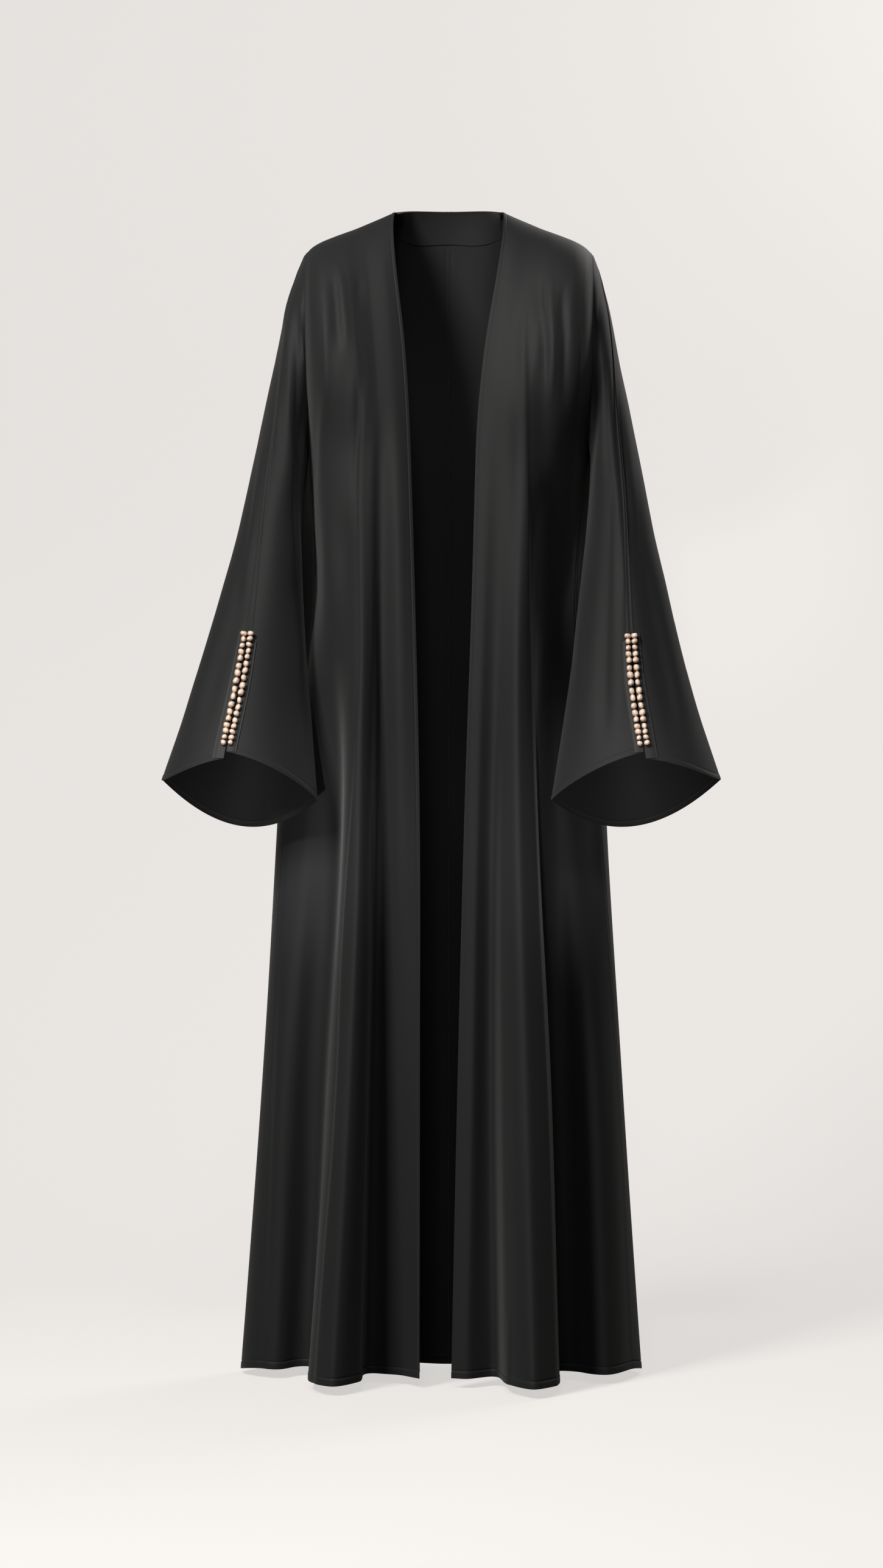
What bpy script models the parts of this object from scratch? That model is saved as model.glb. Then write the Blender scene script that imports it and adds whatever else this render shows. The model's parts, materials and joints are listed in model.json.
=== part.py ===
"""Open-front abaya cloak, filled out as if worn, with pearl-edged slits in its wide sleeves.

Metres, +Z up. The front faces -Y and the wearer's left is at +X. The origin lies midway
between the two neck points, where the shoulder seams reach the neck and the cloak is held.
"""

import math
from bisect import bisect_right

import bmesh
import bpy
import numpy as np

# Driving dimensions
CLOAK = "abaya_cloak"
LENGTH = 1.467  # neck point to hem
NECK_HALF_WIDTH = 0.068
NECK_DEPTH = 0.048  # how far the back neck lies behind the neck points
NECK_RISE = 0.007  # the back neck stands a little above the neck points
SHOULDER_HALF_WIDTH = 0.1825
SHOULDER_DROP = 0.055
# The shoulder seam falls fast from the neck, then flattens and turns over at its tip.
# First row: place along the seam; second row: drop below the neck point.
SHOULDER_SLOPE = ((0.0, 0.13, 0.40, 0.67, 0.81, 0.94, 1.0),
                  (0.0, 0.0066, 0.0199, 0.0315, 0.0381, 0.0476, SHOULDER_DROP))
UNDERARM_DROP = 0.280
CLOTH = 0.0020  # wall thickness
GAP = 0.0003  # between two pieces at a seam, and under what lies on a piece
SEAM_INSET = GAP / 2  # each piece stops this far short of its seam line
SLEEVE_INSET = GAP  # a little more where the sleeve's seams wind round it
SLIT_INSET = 0.0009  # and the slit's edges this far short of its line

# Depth below the neck points of the chest, waist, hip, knee and hem sections
SECTIONS = (UNDERARM_DROP, 0.500, 0.750, 1.080, LENGTH)
YOKE_ROWS = 10  # rows of faces from the shoulder seam to the chest section
ROWS_BELOW = (2, 3, 3, 4)  # rows of faces between the sections that follow
COLUMNS_PER_LINE = 3  # columns of faces between two drape lines
BUST_REACH = 0.62  # share of the chest depth reached before the cloth turns down
CHEST_FALL = 0.125  # straight fall above the chest section
NECK_EDGE_BOW = 0.005  # the open edge bows this far outwards between the neck and the chest
NECK_EDGE_END = 0.72  # share of the way to the chest where the bow ends
SIDE_PULL = 2.0  # how closely the armhole shapes the cloth beside it

# Drape lines: the crests and troughs that run down each panel.
# Columns: place along the shoulder seam (0 neck, 1 armhole), then for the chest, waist,
# hip, knee and hem sections the distance from the centre plane, and the depth (+Y).
FRONT_RIGHT_LINES = {
    "edge": (0.00, (0.0485, 0.0420, 0.0365, 0.0362, 0.0366), (-0.112, -0.115, -0.112, -0.106, -0.100)),
    "flat": (0.16, (0.0660, 0.0620, 0.0600, 0.0610, 0.0630), (-0.120, -0.120, -0.110, -0.090, -0.066)),
    "trough": (0.34, (0.0860, 0.0840, 0.0860, 0.0920, 0.0975), (-0.121, -0.110, -0.094, -0.074, -0.055)),
    "fold_inner": (0.46, (0.0960, 0.0940, 0.0960, 0.1010, 0.1130), (-0.121, -0.122, -0.122, -0.126, -0.132)),
    "fold_crest": (0.56, (0.1080, 0.1070, 0.1100, 0.1220, 0.1430), (-0.119, -0.126, -0.138, -0.155, -0.172)),
    "fold_outer": (0.70, (0.1320, 0.1280, 0.1260, 0.1450, 0.1735), (-0.110, -0.116, -0.122, -0.128, -0.130)),
    "recess": (0.82, (0.1520, 0.1500, 0.1480, 0.1760, 0.1830), (-0.094, -0.092, -0.030, -0.008, 0.010)),
    "side_swell": (0.92, (0.1680, 0.1640, 0.1820, 0.2080, 0.2180), (-0.058, -0.040, -0.006, -0.012, -0.012)),
    "side_seam": (1.00, (0.1780, 0.1700, 0.2060, 0.2240, 0.2380), (0.000, 0.012, 0.012, 0.006, -0.004)),
}
FRONT_LEFT_LINES = {
    "edge": (0.00, (0.0340, 0.0280, 0.0195, 0.0110, 0.0028), (-0.112, -0.115, -0.112, -0.105, -0.096)),
    "flat": (0.16, (0.0520, 0.0440, 0.0370, 0.0300, 0.0230), (-0.120, -0.120, -0.117, -0.112, -0.104)),
    "trough": (0.34, (0.0680, 0.0600, 0.0530, 0.0500, 0.0540), (-0.121, -0.119, -0.110, -0.096, -0.082)),
    "fold_inner": (0.46, (0.0820, 0.0740, 0.0670, 0.0680, 0.0735), (-0.120, -0.124, -0.128, -0.138, -0.150)),
    "fold_crest": (0.56, (0.0980, 0.0860, 0.0860, 0.0950, 0.1045), (-0.118, -0.130, -0.146, -0.170, -0.198)),
    "fold_outer": (0.70, (0.1180, 0.1010, 0.1040, 0.1210, 0.1325), (-0.110, -0.112, -0.126, -0.142, -0.160)),
    "recess": (0.82, (0.1420, 0.1180, 0.1180, 0.1330, 0.1420), (-0.092, -0.052, -0.022, -0.022, -0.030)),
    "side_swell": (0.92, (0.1640, 0.1440, 0.1600, 0.1850, 0.1970), (-0.058, -0.010, 0.004, -0.040, -0.066)),
    "side_seam": (1.00, (0.1780, 0.1620, 0.1900, 0.2140, 0.2330), (0.000, 0.022, 0.020, 0.004, -0.008)),
}
BACK_LINES = {
    "back_side": (0.88, (0.1660, 0.2100, 0.2170, 0.2370, 0.2660), (0.070, 0.078, 0.061, 0.048, 0.046)),
    "back_outer": (0.50, (0.1240, 0.1280, 0.1560, 0.1840, 0.2080), (0.084, 0.090, 0.092, 0.100, 0.108)),
    "back_neck": (0.00, (0.0820, 0.0860, 0.1040, 0.1200, 0.1350), (0.094, 0.101, 0.104, 0.098, 0.088)),
    "back_inner": (-0.50, (0.0400, 0.0420, 0.0520, 0.0620, 0.0700), (0.098, 0.106, 0.114, 0.122, 0.130)),
    "centre": (-1.00, (0.0, 0.0, 0.0, 0.0, 0.0), (0.099, 0.107, 0.112, 0.114, 0.112)),
}
BACK_DIP = 0.010  # the back hem hangs this much lower than the front
BACK_WIDTH = {  # from chest to hem, the back is drawn a little narrower on the left
    "right": (1.0, 1.0, 1.0, 1.0, 1.0),
    "left": (1.0, 0.95, 0.925, 0.925, 0.925),
}

# Sleeve sections from the armhole to the cuff.
# Columns: share of the length, distance of the outer and the inner side from the centre
# plane, depth of the middle, half depth, rise of the front above the middle, and the
# places of the overarm and the underarm seam around the section in degrees.
SLEEVE_SECTIONS = {
    "right": (
        (0.00, 0.1825, 0.1780, 0.000, 0.075, 0.000, 0.0, 180.0),
        (0.06, 0.1990, 0.1830, 0.000, 0.078, 0.000, 22.0, 184.0),
        (0.20, 0.2200, 0.1870, -0.003, 0.075, 0.002, 54.0, 195.0),
        (0.40, 0.2480, 0.1860, -0.012, 0.070, 0.006, 66.0, 214.0),
        (0.60, 0.2773, 0.1800, -0.030, 0.064, 0.014, 74.0, 232.0),
        (0.80, 0.3147, 0.1720, -0.056, 0.060, 0.028, 79.0, 246.0),
        (1.00, 0.3587, 0.1640, -0.084, 0.062, 0.046, 81.5, 255.0),
    ),
    "left": (
        (0.00, 0.1825, 0.1780, 0.000, 0.075, 0.000, 0.0, 180.0),
        (0.06, 0.1970, 0.1820, 0.000, 0.078, 0.000, 22.0, 184.0),
        (0.20, 0.2156, 0.1790, -0.004, 0.075, 0.002, 54.0, 195.0),
        (0.40, 0.2426, 0.1690, -0.016, 0.070, 0.006, 68.0, 214.0),
        (0.60, 0.2675, 0.1570, -0.038, 0.064, 0.014, 78.0, 232.0),
        (0.80, 0.2977, 0.1430, -0.064, 0.060, 0.028, 84.0, 246.0),
        (1.00, 0.3393, 0.1275, -0.090, 0.062, 0.046, 86.0, 255.0),
    ),
}
CUFF_OUTER_DROP = 0.720
CUFF_INNER_DROP = 0.746
CUFF_POINT = 0.5  # how far the round armhole has become pointed at the cuff
CUFF_POINT_BACK = 1.0  # the back half is more pointed
SLEEVE_ROWS = (0.0, 0.05, 0.11, 0.19, 0.28, 0.38, 0.48, 0.57, 0.64, 0.712, 0.78, 0.86, 0.93, 1.0)
SLIT_TOP = 0.712  # share of the sleeve's length where the overarm seam opens
SLIT_STEP = 0.017  # the outer edge of the slit hangs this share lower at the cuff
STEP_START = 0.86

NECK_PLACE = 3  # the back line that starts at the neck point
NECK_BLEND = 0.5  # level by which the corner at the neck point has smoothed out
FACING_LEVELS = (0.002, 0.1, 0.2, 0.25)  # rows of the neck facing, 42 mm deep at the centre
FACING_WALL = 0.0010
FACING_GAP = 0.0019  # the facing spans the centre seam and lies a little off the back
BAND_WIDTH = 0.0125
BAND_WALL = 0.0012
PEARL_RADIUS = 0.0036
PEARL_OFFSET = 0.0042  # from the slit's line to the middle of the pearls
PEARL_END = 0.014  # the last pearl stops this share short of the cuff
PEARL_NECK = 0.42  # narrowest part of the string, as a share of the radius
PEARL_COUNTS = {("right", "front"): 18, ("right", "back"): 17,
                ("left", "front"): 17, ("left", "back"): 17}
PEARL_SIZES = (1.0, 0.93, 1.05, 0.97, 1.02, 0.90, 1.06)  # the pearls are uneven

SIGN = {"right": -1.0, "left": 1.0}


# Smooth curves through a table's rows
def smooth(knots, values, place, before=None, after=None):
    """Value at a place on a smooth curve; before and after bend its two ends."""
    index = min(max(bisect_right(knots, place) - 1, 0), len(knots) - 2)
    gap = knots[index + 1] - knots[index]
    start = slope(knots, values, index, before, after)
    end = slope(knots, values, index + 1, before, after)
    s = (place - knots[index]) / gap
    first = values[index] * (2 * s**3 - 3 * s**2 + 1) + start * gap * (s**3 - 2 * s**2 + s)
    second = values[index + 1] * (3 * s**2 - 2 * s**3) + end * gap * (s**3 - s**2)
    return first + second


def slope(knots, values, index, before, after):
    """Slope at a knot, closer to that of its shorter side."""
    last = len(knots) - 1
    if index == 0:
        if before is None:
            return (values[1] - values[0]) / (knots[1] - knots[0])
        left, gap_left = values[0] - before, distance(values[0], before)
    else:
        left, gap_left = values[index] - values[index - 1], knots[index] - knots[index - 1]
    if index == last:
        if after is None:
            return (values[last] - values[last - 1]) / (knots[last] - knots[last - 1])
        right, gap_right = after - values[last], distance(after, values[last])
    else:
        right, gap_right = values[index + 1] - values[index], knots[index + 1] - knots[index]
    return (left / gap_left * gap_right + right / gap_right * gap_left) / (gap_left + gap_right)


def distance(first, second):
    return max(float(np.linalg.norm(first - second)), 1e-6)


def through(points, place, before=None, after=None):
    """Point on a smooth curve through points, at a whole and part count of them."""
    knots = [0.0]
    for first, second in zip(points, points[1:]):
        knots.append(knots[-1] + distance(first, second))
    index = min(int(place), len(points) - 2)
    along = knots[index] + (place - index) * (knots[index + 1] - knots[index])
    return smooth(knots, points, along, before, after)


# Sleeves
def sleeve_row(side, share):
    table = SLEEVE_SECTIONS[side]
    knots = [row[0] for row in table]
    return smooth(knots, [np.array(row[1:]) for row in table], share)


def sleeve_point(side, degrees, share):
    """Point on a sleeve: 0 degrees is its outer side, 90 its front, 180 its inner side."""
    outer, inner, middle, half_depth, rise, _, _ = sleeve_row(side, share)
    outer_drop = SHOULDER_DROP + (CUFF_OUTER_DROP - SHOULDER_DROP) * share
    inner_drop = UNDERARM_DROP + (CUFF_INNER_DROP - UNDERARM_DROP) * share
    across = math.cos(math.radians(degrees))
    forward = math.sin(math.radians(degrees))
    point = CUFF_POINT if forward > 0 else CUFF_POINT_BACK
    forward = math.copysign(abs(forward) ** (1 + point * min(share, 1.0)), forward)
    x = (outer + inner) / 2 + (outer - inner) / 2 * across
    y = middle - half_depth * forward
    z = -(outer_drop + inner_drop) / 2 + (inner_drop - outer_drop) / 2 * across + rise * forward
    return np.array((SIGN[side] * x, y, z))


def armhole_degrees(level):
    """Place around the armhole that lies level with the yoke's outer line."""
    height = bezier(armhole_controls(), level)[2]
    middle = -(SHOULDER_DROP + UNDERARM_DROP) / 2
    half = (UNDERARM_DROP - SHOULDER_DROP) / 2
    return math.degrees(math.acos(max(-1.0, min(1.0, (height - middle) / half))))


def armhole_controls():
    top = np.array((SHOULDER_HALF_WIDTH, 0.0, -SHOULDER_DROP))
    bottom = np.array((0.178, 0.0, -UNDERARM_DROP))
    return (top, top, bottom + np.array((0.0, 0.0, CHEST_FALL)), bottom)


def sleeve_place(side, half, column, share):
    """Place on the front or back half of a sleeve, from the overarm to the underarm seam."""
    row = sleeve_row(side, share)
    overarm, underarm = row[5], row[6]
    turn = armhole_degrees(column) / 180.0
    if half == "front":
        degrees = overarm + (underarm - overarm) * turn
    else:
        degrees = overarm + 360.0 - (overarm + 360.0 - underarm) * turn
        beyond = max(0.0, (share - STEP_START) / (1.0 - STEP_START))
        near_slit = max(0.0, 1.0 - turn / 0.42)
        share = share + SLIT_STEP * beyond * near_slit
    return degrees, share


# Body
def bezier(controls, share):
    rest = 1 - share
    weights = (rest**3, 3 * rest**2 * share, 3 * rest * share**2, share**3)
    return sum(weight * point for weight, point in zip(weights, controls))


def shoulder_point(place):
    """Point on the shoulder seam, or on the back neck for a place below 0."""
    if place >= 0:
        x = NECK_HALF_WIDTH + (SHOULDER_HALF_WIDTH - NECK_HALF_WIDTH) * place
        return np.array((x, 0.0, -smooth(*SHOULDER_SLOPE, place)))
    turn = math.radians(90 * -place)
    return np.array((NECK_HALF_WIDTH * math.cos(turn), NECK_DEPTH * math.sin(turn),
                     NECK_RISE * math.sin(turn) ** 0.5))


def line_point(line, level, back_neck=False):
    """Point on a drape line: level 0 is the shoulder, 1 the chest, 5 the hem."""
    place, distances, depths = line
    if level >= 1:
        section = min(int(level) - 1, len(SECTIONS) - 2)
        height = SECTIONS[section + 1] - SECTIONS[section]
        drop = SECTIONS[section] + (level - 1 - section) * height
        table = [np.array(pair) for pair in zip(distances, depths)]
        x, y = smooth(SECTIONS, table, drop)
        dip = BACK_DIP * max(0.0, min(1.0, y / depths[0])) if depths[0] > 0 else 0.0
        below_knee = max(0.0, drop - SECTIONS[-2]) / (LENGTH - SECTIONS[-2])
        return np.array((x, y, -drop - dip * below_knee))
    top = shoulder_point(place)
    chest = np.array((distances[0], depths[0], -SECTIONS[0]))
    reach = BUST_REACH * (depths[0] - top[1])
    over = top + np.array((0.0, reach, -0.002))
    if back_neck:
        over = top + np.array((0.0, 0.5 * reach, -0.03))
    fall = chest + np.array((0.3 * (top[0] - chest[0]), 0.0, CHEST_FALL))
    point = bezier((top, over, fall, chest), level)
    if place == 0 and depths[0] < 0:
        point[0] += NECK_EDGE_BOW * math.sin(math.pi * min(1.0, level / NECK_EDGE_END))
    return point


def body_point(side, part, place, level):
    """Point on a front or back panel; place counts drape lines from its first one."""
    front = FRONT_RIGHT_LINES if side == "right" else FRONT_LEFT_LINES
    front = list(front.values())
    back = [(place_on_seam, tuple(np.array(BACK_WIDTH[side]) * distances), depths)
            for place_on_seam, distances, depths in BACK_LINES.values()]
    lines = front if part == "front" else [front[-1]] + back
    points = [line_point(line, level, line[0] < 0) for line in lines]
    before, after = None, None
    if part == "back":
        after = points[-2] * np.array((-1.0, 1.0, 1.0))
    if level >= 1:
        if part == "front":
            after = line_point(back[0], level)
        else:
            before = line_point(front[-2], level)
    point = through(points, place, before, after)
    if part == "back" and level < NECK_BLEND:
        neck = points[:NECK_PLACE + 1], points[NECK_PLACE:]
        corner = through(neck[0], place)
        if place > NECK_PLACE:
            corner = through(neck[1], place - NECK_PLACE, None, after)
        point = corner + (point - corner) * level / NECK_BLEND
    if level < 1:
        share = place / (len(lines) - 1) if part == "front" else 1 - place / (len(lines) - 1)
        turn = armhole_degrees(level)
        edge = sleeve_point("left", turn if part == "front" else -turn, 0.0)
        outer = points[-1] if part == "front" else points[0]
        point = point + (edge - outer) * share**SIDE_PULL
    return point * np.array((SIGN[side], 1.0, 1.0))


def levels():
    """Rows of a body panel, closer together over the shoulder."""
    rows = [row / YOKE_ROWS for row in range(YOKE_ROWS)]
    for section, count in enumerate(ROWS_BELOW):
        rows += [1 + section + row / count for row in range(count)]
    return rows + [1.0 + len(ROWS_BELOW)]


# Cloth pieces
def pull_in(grid, left=None, right=None, top=None):
    """Stop a piece short of its seams, by one distance for each point along them."""
    result = grid.copy()
    if left is not None:
        result[:, 0] += inset_steps(grid[:, 0], grid[:, 1], left)
    if right is not None:
        result[:, -1] += inset_steps(grid[:, -1], grid[:, -2], right)
    if top is not None:
        result[0] += inset_steps(grid[0], grid[1], top)
    return result


def inset_steps(edge, inner, insets):
    return np.array([(near - here) / distance(near, here) * inset
                     for here, near, inset in zip(edge, inner, insets)])


def outward(across, down, side):
    """Direction out of the cloth, from the ways across and down it."""
    normal = np.cross(across, down) * SIGN[side]
    return normal / np.linalg.norm(normal)


def cloth_piece(name, outer, inner, material, collection, flip):
    """Closed wall between two grids of points: two planes of faces joined at their rims."""
    rows, columns = outer.shape[:2]
    wall = bmesh.new()
    for grid, turned in ((outer, flip), (inner, not flip)):
        made = bmesh.ops.create_grid(wall, x_segments=columns - 1, y_segments=rows - 1, size=0.5)
        faces = {face for vertex in made["verts"] for face in vertex.link_faces}
        if turned:
            bmesh.ops.reverse_faces(wall, faces=list(faces))
        for vertex in made["verts"]:
            column = round((vertex.co.x + 0.5) * (columns - 1))
            row = round((vertex.co.y + 0.5) * (rows - 1))
            vertex.co = grid[row, column]
    rims = [edge for edge in wall.edges if edge.is_boundary]
    bmesh.ops.bridge_loops(wall, edges=rims)
    mesh = bpy.data.meshes.new(name)
    wall.to_mesh(mesh)
    wall.free()
    mesh.shade_smooth()
    mesh.set_sharp_from_angle(angle=math.radians(50))
    mesh.materials.append(material)
    collection.objects.link(bpy.data.objects.new(name, mesh))


def body_out(side, part, place, level):
    """Direction out of a body panel."""
    step = 0.002
    across = body_point(side, part, place + step, level) - body_point(side, part, place - step, level)
    down = body_point(side, part, place, level + step) - body_point(side, part, place, level - step)
    return -outward(across, down, side)


def body_panels(material, collection):
    rows = levels()
    for side in ("right", "left"):
        for part, count in (("front", len(FRONT_RIGHT_LINES) - 1), ("back", len(BACK_LINES))):
            columns = count * COLUMNS_PER_LINE
            places = [column / COLUMNS_PER_LINE for column in range(columns + 1)]
            grid = np.array([[body_point(side, part, place, level) for place in places] for level in rows])
            out = np.array([[body_out(side, part, place, level) for place in places] for level in rows])
            armhole = [armhole_inset(min(level, 1.0)) for level in rows]
            if part == "front":
                grid = pull_in(grid, right=armhole, top=[SEAM_INSET] * len(places))
            else:
                shoulder = [SEAM_INSET if place <= NECK_PLACE else 0.0 for place in places]
                grid = pull_in(grid, left=armhole, right=[SEAM_INSET] * len(rows), top=shoulder)
            flip = side == "left"
            cloth_piece(f"{part}_{side}", grid, grid - out * CLOTH, material, collection, flip)


def armhole_inset(level):
    """The shoulder tip turns most sharply, so the pieces stop shortest there."""
    return SEAM_INSET + CLOTH * 0.35 * max(0.0, math.cos(math.radians(armhole_degrees(level))))


def sleeve_out(side, degrees, share):
    """Direction out of a sleeve."""
    around = sleeve_point(side, degrees + 0.5, share) - sleeve_point(side, degrees - 0.5, share)
    along = sleeve_point(side, degrees, share + 0.005) - sleeve_point(side, degrees, share - 0.005)
    return outward(around, along, side)


def sleeve_pieces(material, collection):
    columns = [column / YOKE_ROWS for column in range(YOKE_ROWS + 1)]
    overarm = [SLIT_INSET if share > SLIT_TOP else SLEEVE_INSET for share in SLEEVE_ROWS]
    underarm = [SLEEVE_INSET] * len(SLEEVE_ROWS)
    armhole = [armhole_inset(column) for column in columns]
    for side in ("right", "left"):
        for half in ("front", "back"):
            places = [[sleeve_place(side, half, column, share) for column in columns]
                      for share in SLEEVE_ROWS]
            grid = np.array([[sleeve_point(side, *place) for place in row] for row in places])
            out = np.array([[sleeve_out(side, *place) for place in row] for row in places])
            grid = pull_in(grid, left=overarm, right=underarm, top=armhole)
            flip = (side == "right") == (half == "front")
            cloth_piece(f"sleeve_{side}_{half}", grid, grid - out * CLOTH, material, collection, flip)


def neck_facing(material, collection):
    """Facing inside the back neck, moved in from the back panels' points."""
    centre = len(BACK_LINES)
    half = [NECK_PLACE + column / COLUMNS_PER_LINE for column in range(1, 2 * COLUMNS_PER_LINE)]
    places = [("right", place) for place in half] + [("right", centre)]
    places += [("left", place) for place in reversed(half)]
    outer, inner = [
        np.array([[body_point(side, "back", place, level) - body_out(side, "back", place, level) * depth
                   for side, place in places] for level in FACING_LEVELS])
        for depth in (CLOTH + FACING_GAP, CLOTH + FACING_GAP + FACING_WALL)]
    cloth_piece("neck_facing", outer, inner, material, collection, False)


# Slit edges
def slit_point(side, half, offset, share, height):
    """Point on a sleeve at an offset from the slit's line, moved out by a height."""
    overarm = sleeve_row(side, share)[5]
    arc = distance(sleeve_point(side, overarm + 1.0, share), sleeve_point(side, overarm, share))
    degrees = overarm + (offset if half == "front" else -offset) / arc
    return sleeve_point(side, degrees, share) + sleeve_out(side, degrees, share) * height


def slit_bands(material, collection):
    """A turned strip on each edge of each slit."""
    shares = [share for share in SLEEVE_ROWS if share >= SLIT_TOP]
    offsets = (SLIT_INSET, BAND_WIDTH / 2, BAND_WIDTH)
    for side in ("right", "left"):
        for half in ("front", "back"):
            step = SLIT_STEP / (1.0 - STEP_START) if half == "back" else 0.0
            ends = [share + step * max(0.0, share - STEP_START) for share in shares]
            outer, inner = [np.array([[slit_point(side, half, offset, share, height) for offset in offsets]
                                      for share in ends]) for height in (GAP + BAND_WALL, GAP)]
            flip = (side == "right") == (half == "front")
            cloth_piece(f"slit_band_{side}_{half}", outer, inner, material, collection, flip)


def pearl_rows(material, collection):
    """A string of pearls on each strip, swelling at every pearl."""
    height = GAP + BAND_WALL + GAP + PEARL_RADIUS * max(PEARL_SIZES)
    for (side, half), count in PEARL_COUNTS.items():
        name = f"pearl_row_{side}_{half}"
        curve = bpy.data.curves.new(name, "CURVE")
        curve.dimensions = "3D"
        curve.bevel_depth = PEARL_RADIUS
        curve.bevel_resolution = 1
        curve.use_fill_caps = True
        stations = [(0.0, PEARL_NECK)]
        for pearl in range(count):
            size = PEARL_SIZES[(pearl * 3 + len(name)) % len(PEARL_SIZES)]
            stations += [(pearl + 0.28, size), (pearl + 0.72, size), (pearl + 1.0, PEARL_NECK)]
        spline = curve.splines.new("POLY")
        spline.points.add(len(stations) - 1)
        for point, (place, size) in zip(spline.points, stations):
            share = SLIT_TOP + (1.0 - SLIT_TOP - PEARL_END) * place / count
            point.co = (*slit_point(side, half, PEARL_OFFSET, share, height), 1.0)
            point.radius = size
        pearls = bpy.data.objects.new(name, curve)
        collection.objects.link(pearls)
        curve.materials.append(material)


def surface(name, colour, roughness):
    material = bpy.data.materials.new(name)
    material.use_nodes = True
    shader = material.node_tree.nodes["Principled BSDF"]
    shader.inputs["Base Color"].default_value = (*colour, 1.0)
    shader.inputs["Roughness"].default_value = roughness
    shader.inputs["Metallic"].default_value = 0.0
    return material


def build():
    for leftover in list(bpy.data.objects):
        bpy.data.objects.remove(leftover)
    collection = bpy.data.collections.new(CLOAK)
    bpy.context.scene.collection.children.link(collection)
    crepe = surface("black_crepe", (0.012, 0.012, 0.013), 0.8)
    binding = surface("black_binding", (0.016, 0.016, 0.017), 0.65)
    pearl = surface("pearl", (0.93, 0.86, 0.77), 0.25)
    body_panels(crepe, collection)
    sleeve_pieces(crepe, collection)
    neck_facing(binding, collection)
    slit_bands(binding, collection)
    pearl_rows(pearl, collection)


build()
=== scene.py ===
# %% [markdown]
# # An open-front abaya cloak
# This lesson dresses a finished solid model as cloth. The cloak is black crepe, cut in two
# fronts, two backs and four sleeve halves, with pearls along a slit in each sleeve. It hangs
# filled out, as on a wearer who isn't there. The solid model is loaded first and stays as
# it is: every cloth piece made below lies on the form of one of its solids and stands for it.

# %% Load the solids
import math
import json

import bmesh
import bpy
import numpy as np
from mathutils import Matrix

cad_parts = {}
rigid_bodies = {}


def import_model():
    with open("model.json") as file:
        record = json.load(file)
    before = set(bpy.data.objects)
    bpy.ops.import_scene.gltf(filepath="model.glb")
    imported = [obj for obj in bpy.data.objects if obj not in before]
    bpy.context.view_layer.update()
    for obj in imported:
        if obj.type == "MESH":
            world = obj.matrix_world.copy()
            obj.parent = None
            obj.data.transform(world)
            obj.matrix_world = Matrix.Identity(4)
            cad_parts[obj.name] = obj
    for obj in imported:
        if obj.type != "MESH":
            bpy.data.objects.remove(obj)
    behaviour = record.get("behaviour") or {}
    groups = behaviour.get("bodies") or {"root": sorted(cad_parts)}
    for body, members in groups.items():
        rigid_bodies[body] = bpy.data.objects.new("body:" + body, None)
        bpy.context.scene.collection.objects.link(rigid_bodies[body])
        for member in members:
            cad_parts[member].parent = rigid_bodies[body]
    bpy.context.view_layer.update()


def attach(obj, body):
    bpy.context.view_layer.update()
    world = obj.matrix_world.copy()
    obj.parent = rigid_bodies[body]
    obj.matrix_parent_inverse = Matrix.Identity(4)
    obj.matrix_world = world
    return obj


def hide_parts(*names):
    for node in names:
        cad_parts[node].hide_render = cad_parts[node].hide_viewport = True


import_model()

# %% [markdown]
# ## The camera
# The photograph was taken level, from far away: the hem lies only a little lower where it
# is nearer. A long lens 5.5 m from the shoulders draws that. The same numbers give a small
# helper that says where in the picture a point of the cloth lies, because creases are
# easiest to place by looking at the picture.

# %% Make the camera
PICTURE = (1450, 2576)  # width and height in pixels
EYE = (-0.0093, -5.5, -0.7257)
FOCAL_PIXELS = 7117.0
SENSOR = 36.0

view = bpy.data.cameras.new("studio_camera")
view.sensor_width = SENSOR
view.lens = FOCAL_PIXELS / max(PICTURE) * SENSOR
view.clip_end = 50.0
camera = bpy.data.objects.new("studio_camera", view)
camera.location = EYE
camera.rotation_euler = (math.radians(90), 0, 0)
bpy.context.scene.collection.objects.link(camera)
bpy.context.scene.camera = camera
print("lens:", round(view.lens, 1), "mm")


# %% Where a point lies in the picture
def in_picture(points):
    """Pixels across and down, for points in rows and columns."""
    away = points[..., 1] - EYE[1]
    across = PICTURE[0] / 2 + FOCAL_PIXELS * (points[..., 0] - EYE[0]) / away
    down = PICTURE[1] / 2 - FOCAL_PIXELS * (points[..., 2] - EYE[2]) / away
    return across, down


# %% [markdown]
# ## The cloak's measures
# A pattern cutter works from a few lengths. The same ones shape the solids, so the cloth
# below falls in the same place.

# %% Lengths in metres
LENGTH = 1.467  # neck point to hem
NECK_HALF_WIDTH = 0.068
NECK_DEPTH = 0.048
NECK_RISE = 0.007
SHOULDER_HALF_WIDTH = 0.1825
SHOULDER_DROP = 0.055
SHOULDER_SLOPE = ((0.0, 0.13, 0.40, 0.67, 0.81, 0.94, 1.0),  # place along the shoulder seam
                  (0.0, 0.0066, 0.0199, 0.0315, 0.0381, 0.0476, SHOULDER_DROP))  # drop there
UNDERARM_DROP = 0.280
UNDERARM_HALF_WIDTH = 0.178
SECTIONS = (UNDERARM_DROP, 0.500, 0.750, 1.080, LENGTH)  # chest, waist, hip, knee, hem
BUST_REACH = 0.62  # share of its depth at the chest that a line gains near the shoulder
NAPE_REACH = 0.5  # share of that below the back neck
SHOULDER_FALL, NAPE_FALL = 0.002, 0.03
CHEST_FALL, CHEST_LEAN = 0.125, 0.3
NECK_EDGE_BOW = 0.005  # how far the open edge bows outwards beside the neck
NECK_EDGE_END = 0.72  # level at which that bow ends
SIDE_PULL = 2.0  # how fast the pull to the armhole dies away across a row
BACK_DIP = 0.010  # how much lower the back's hem hangs
BACK_WIDTH = {"right": (1.0, 1.0, 1.0, 1.0, 1.0), "left": (1.0, 0.95, 0.925, 0.925, 0.925)}
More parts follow.
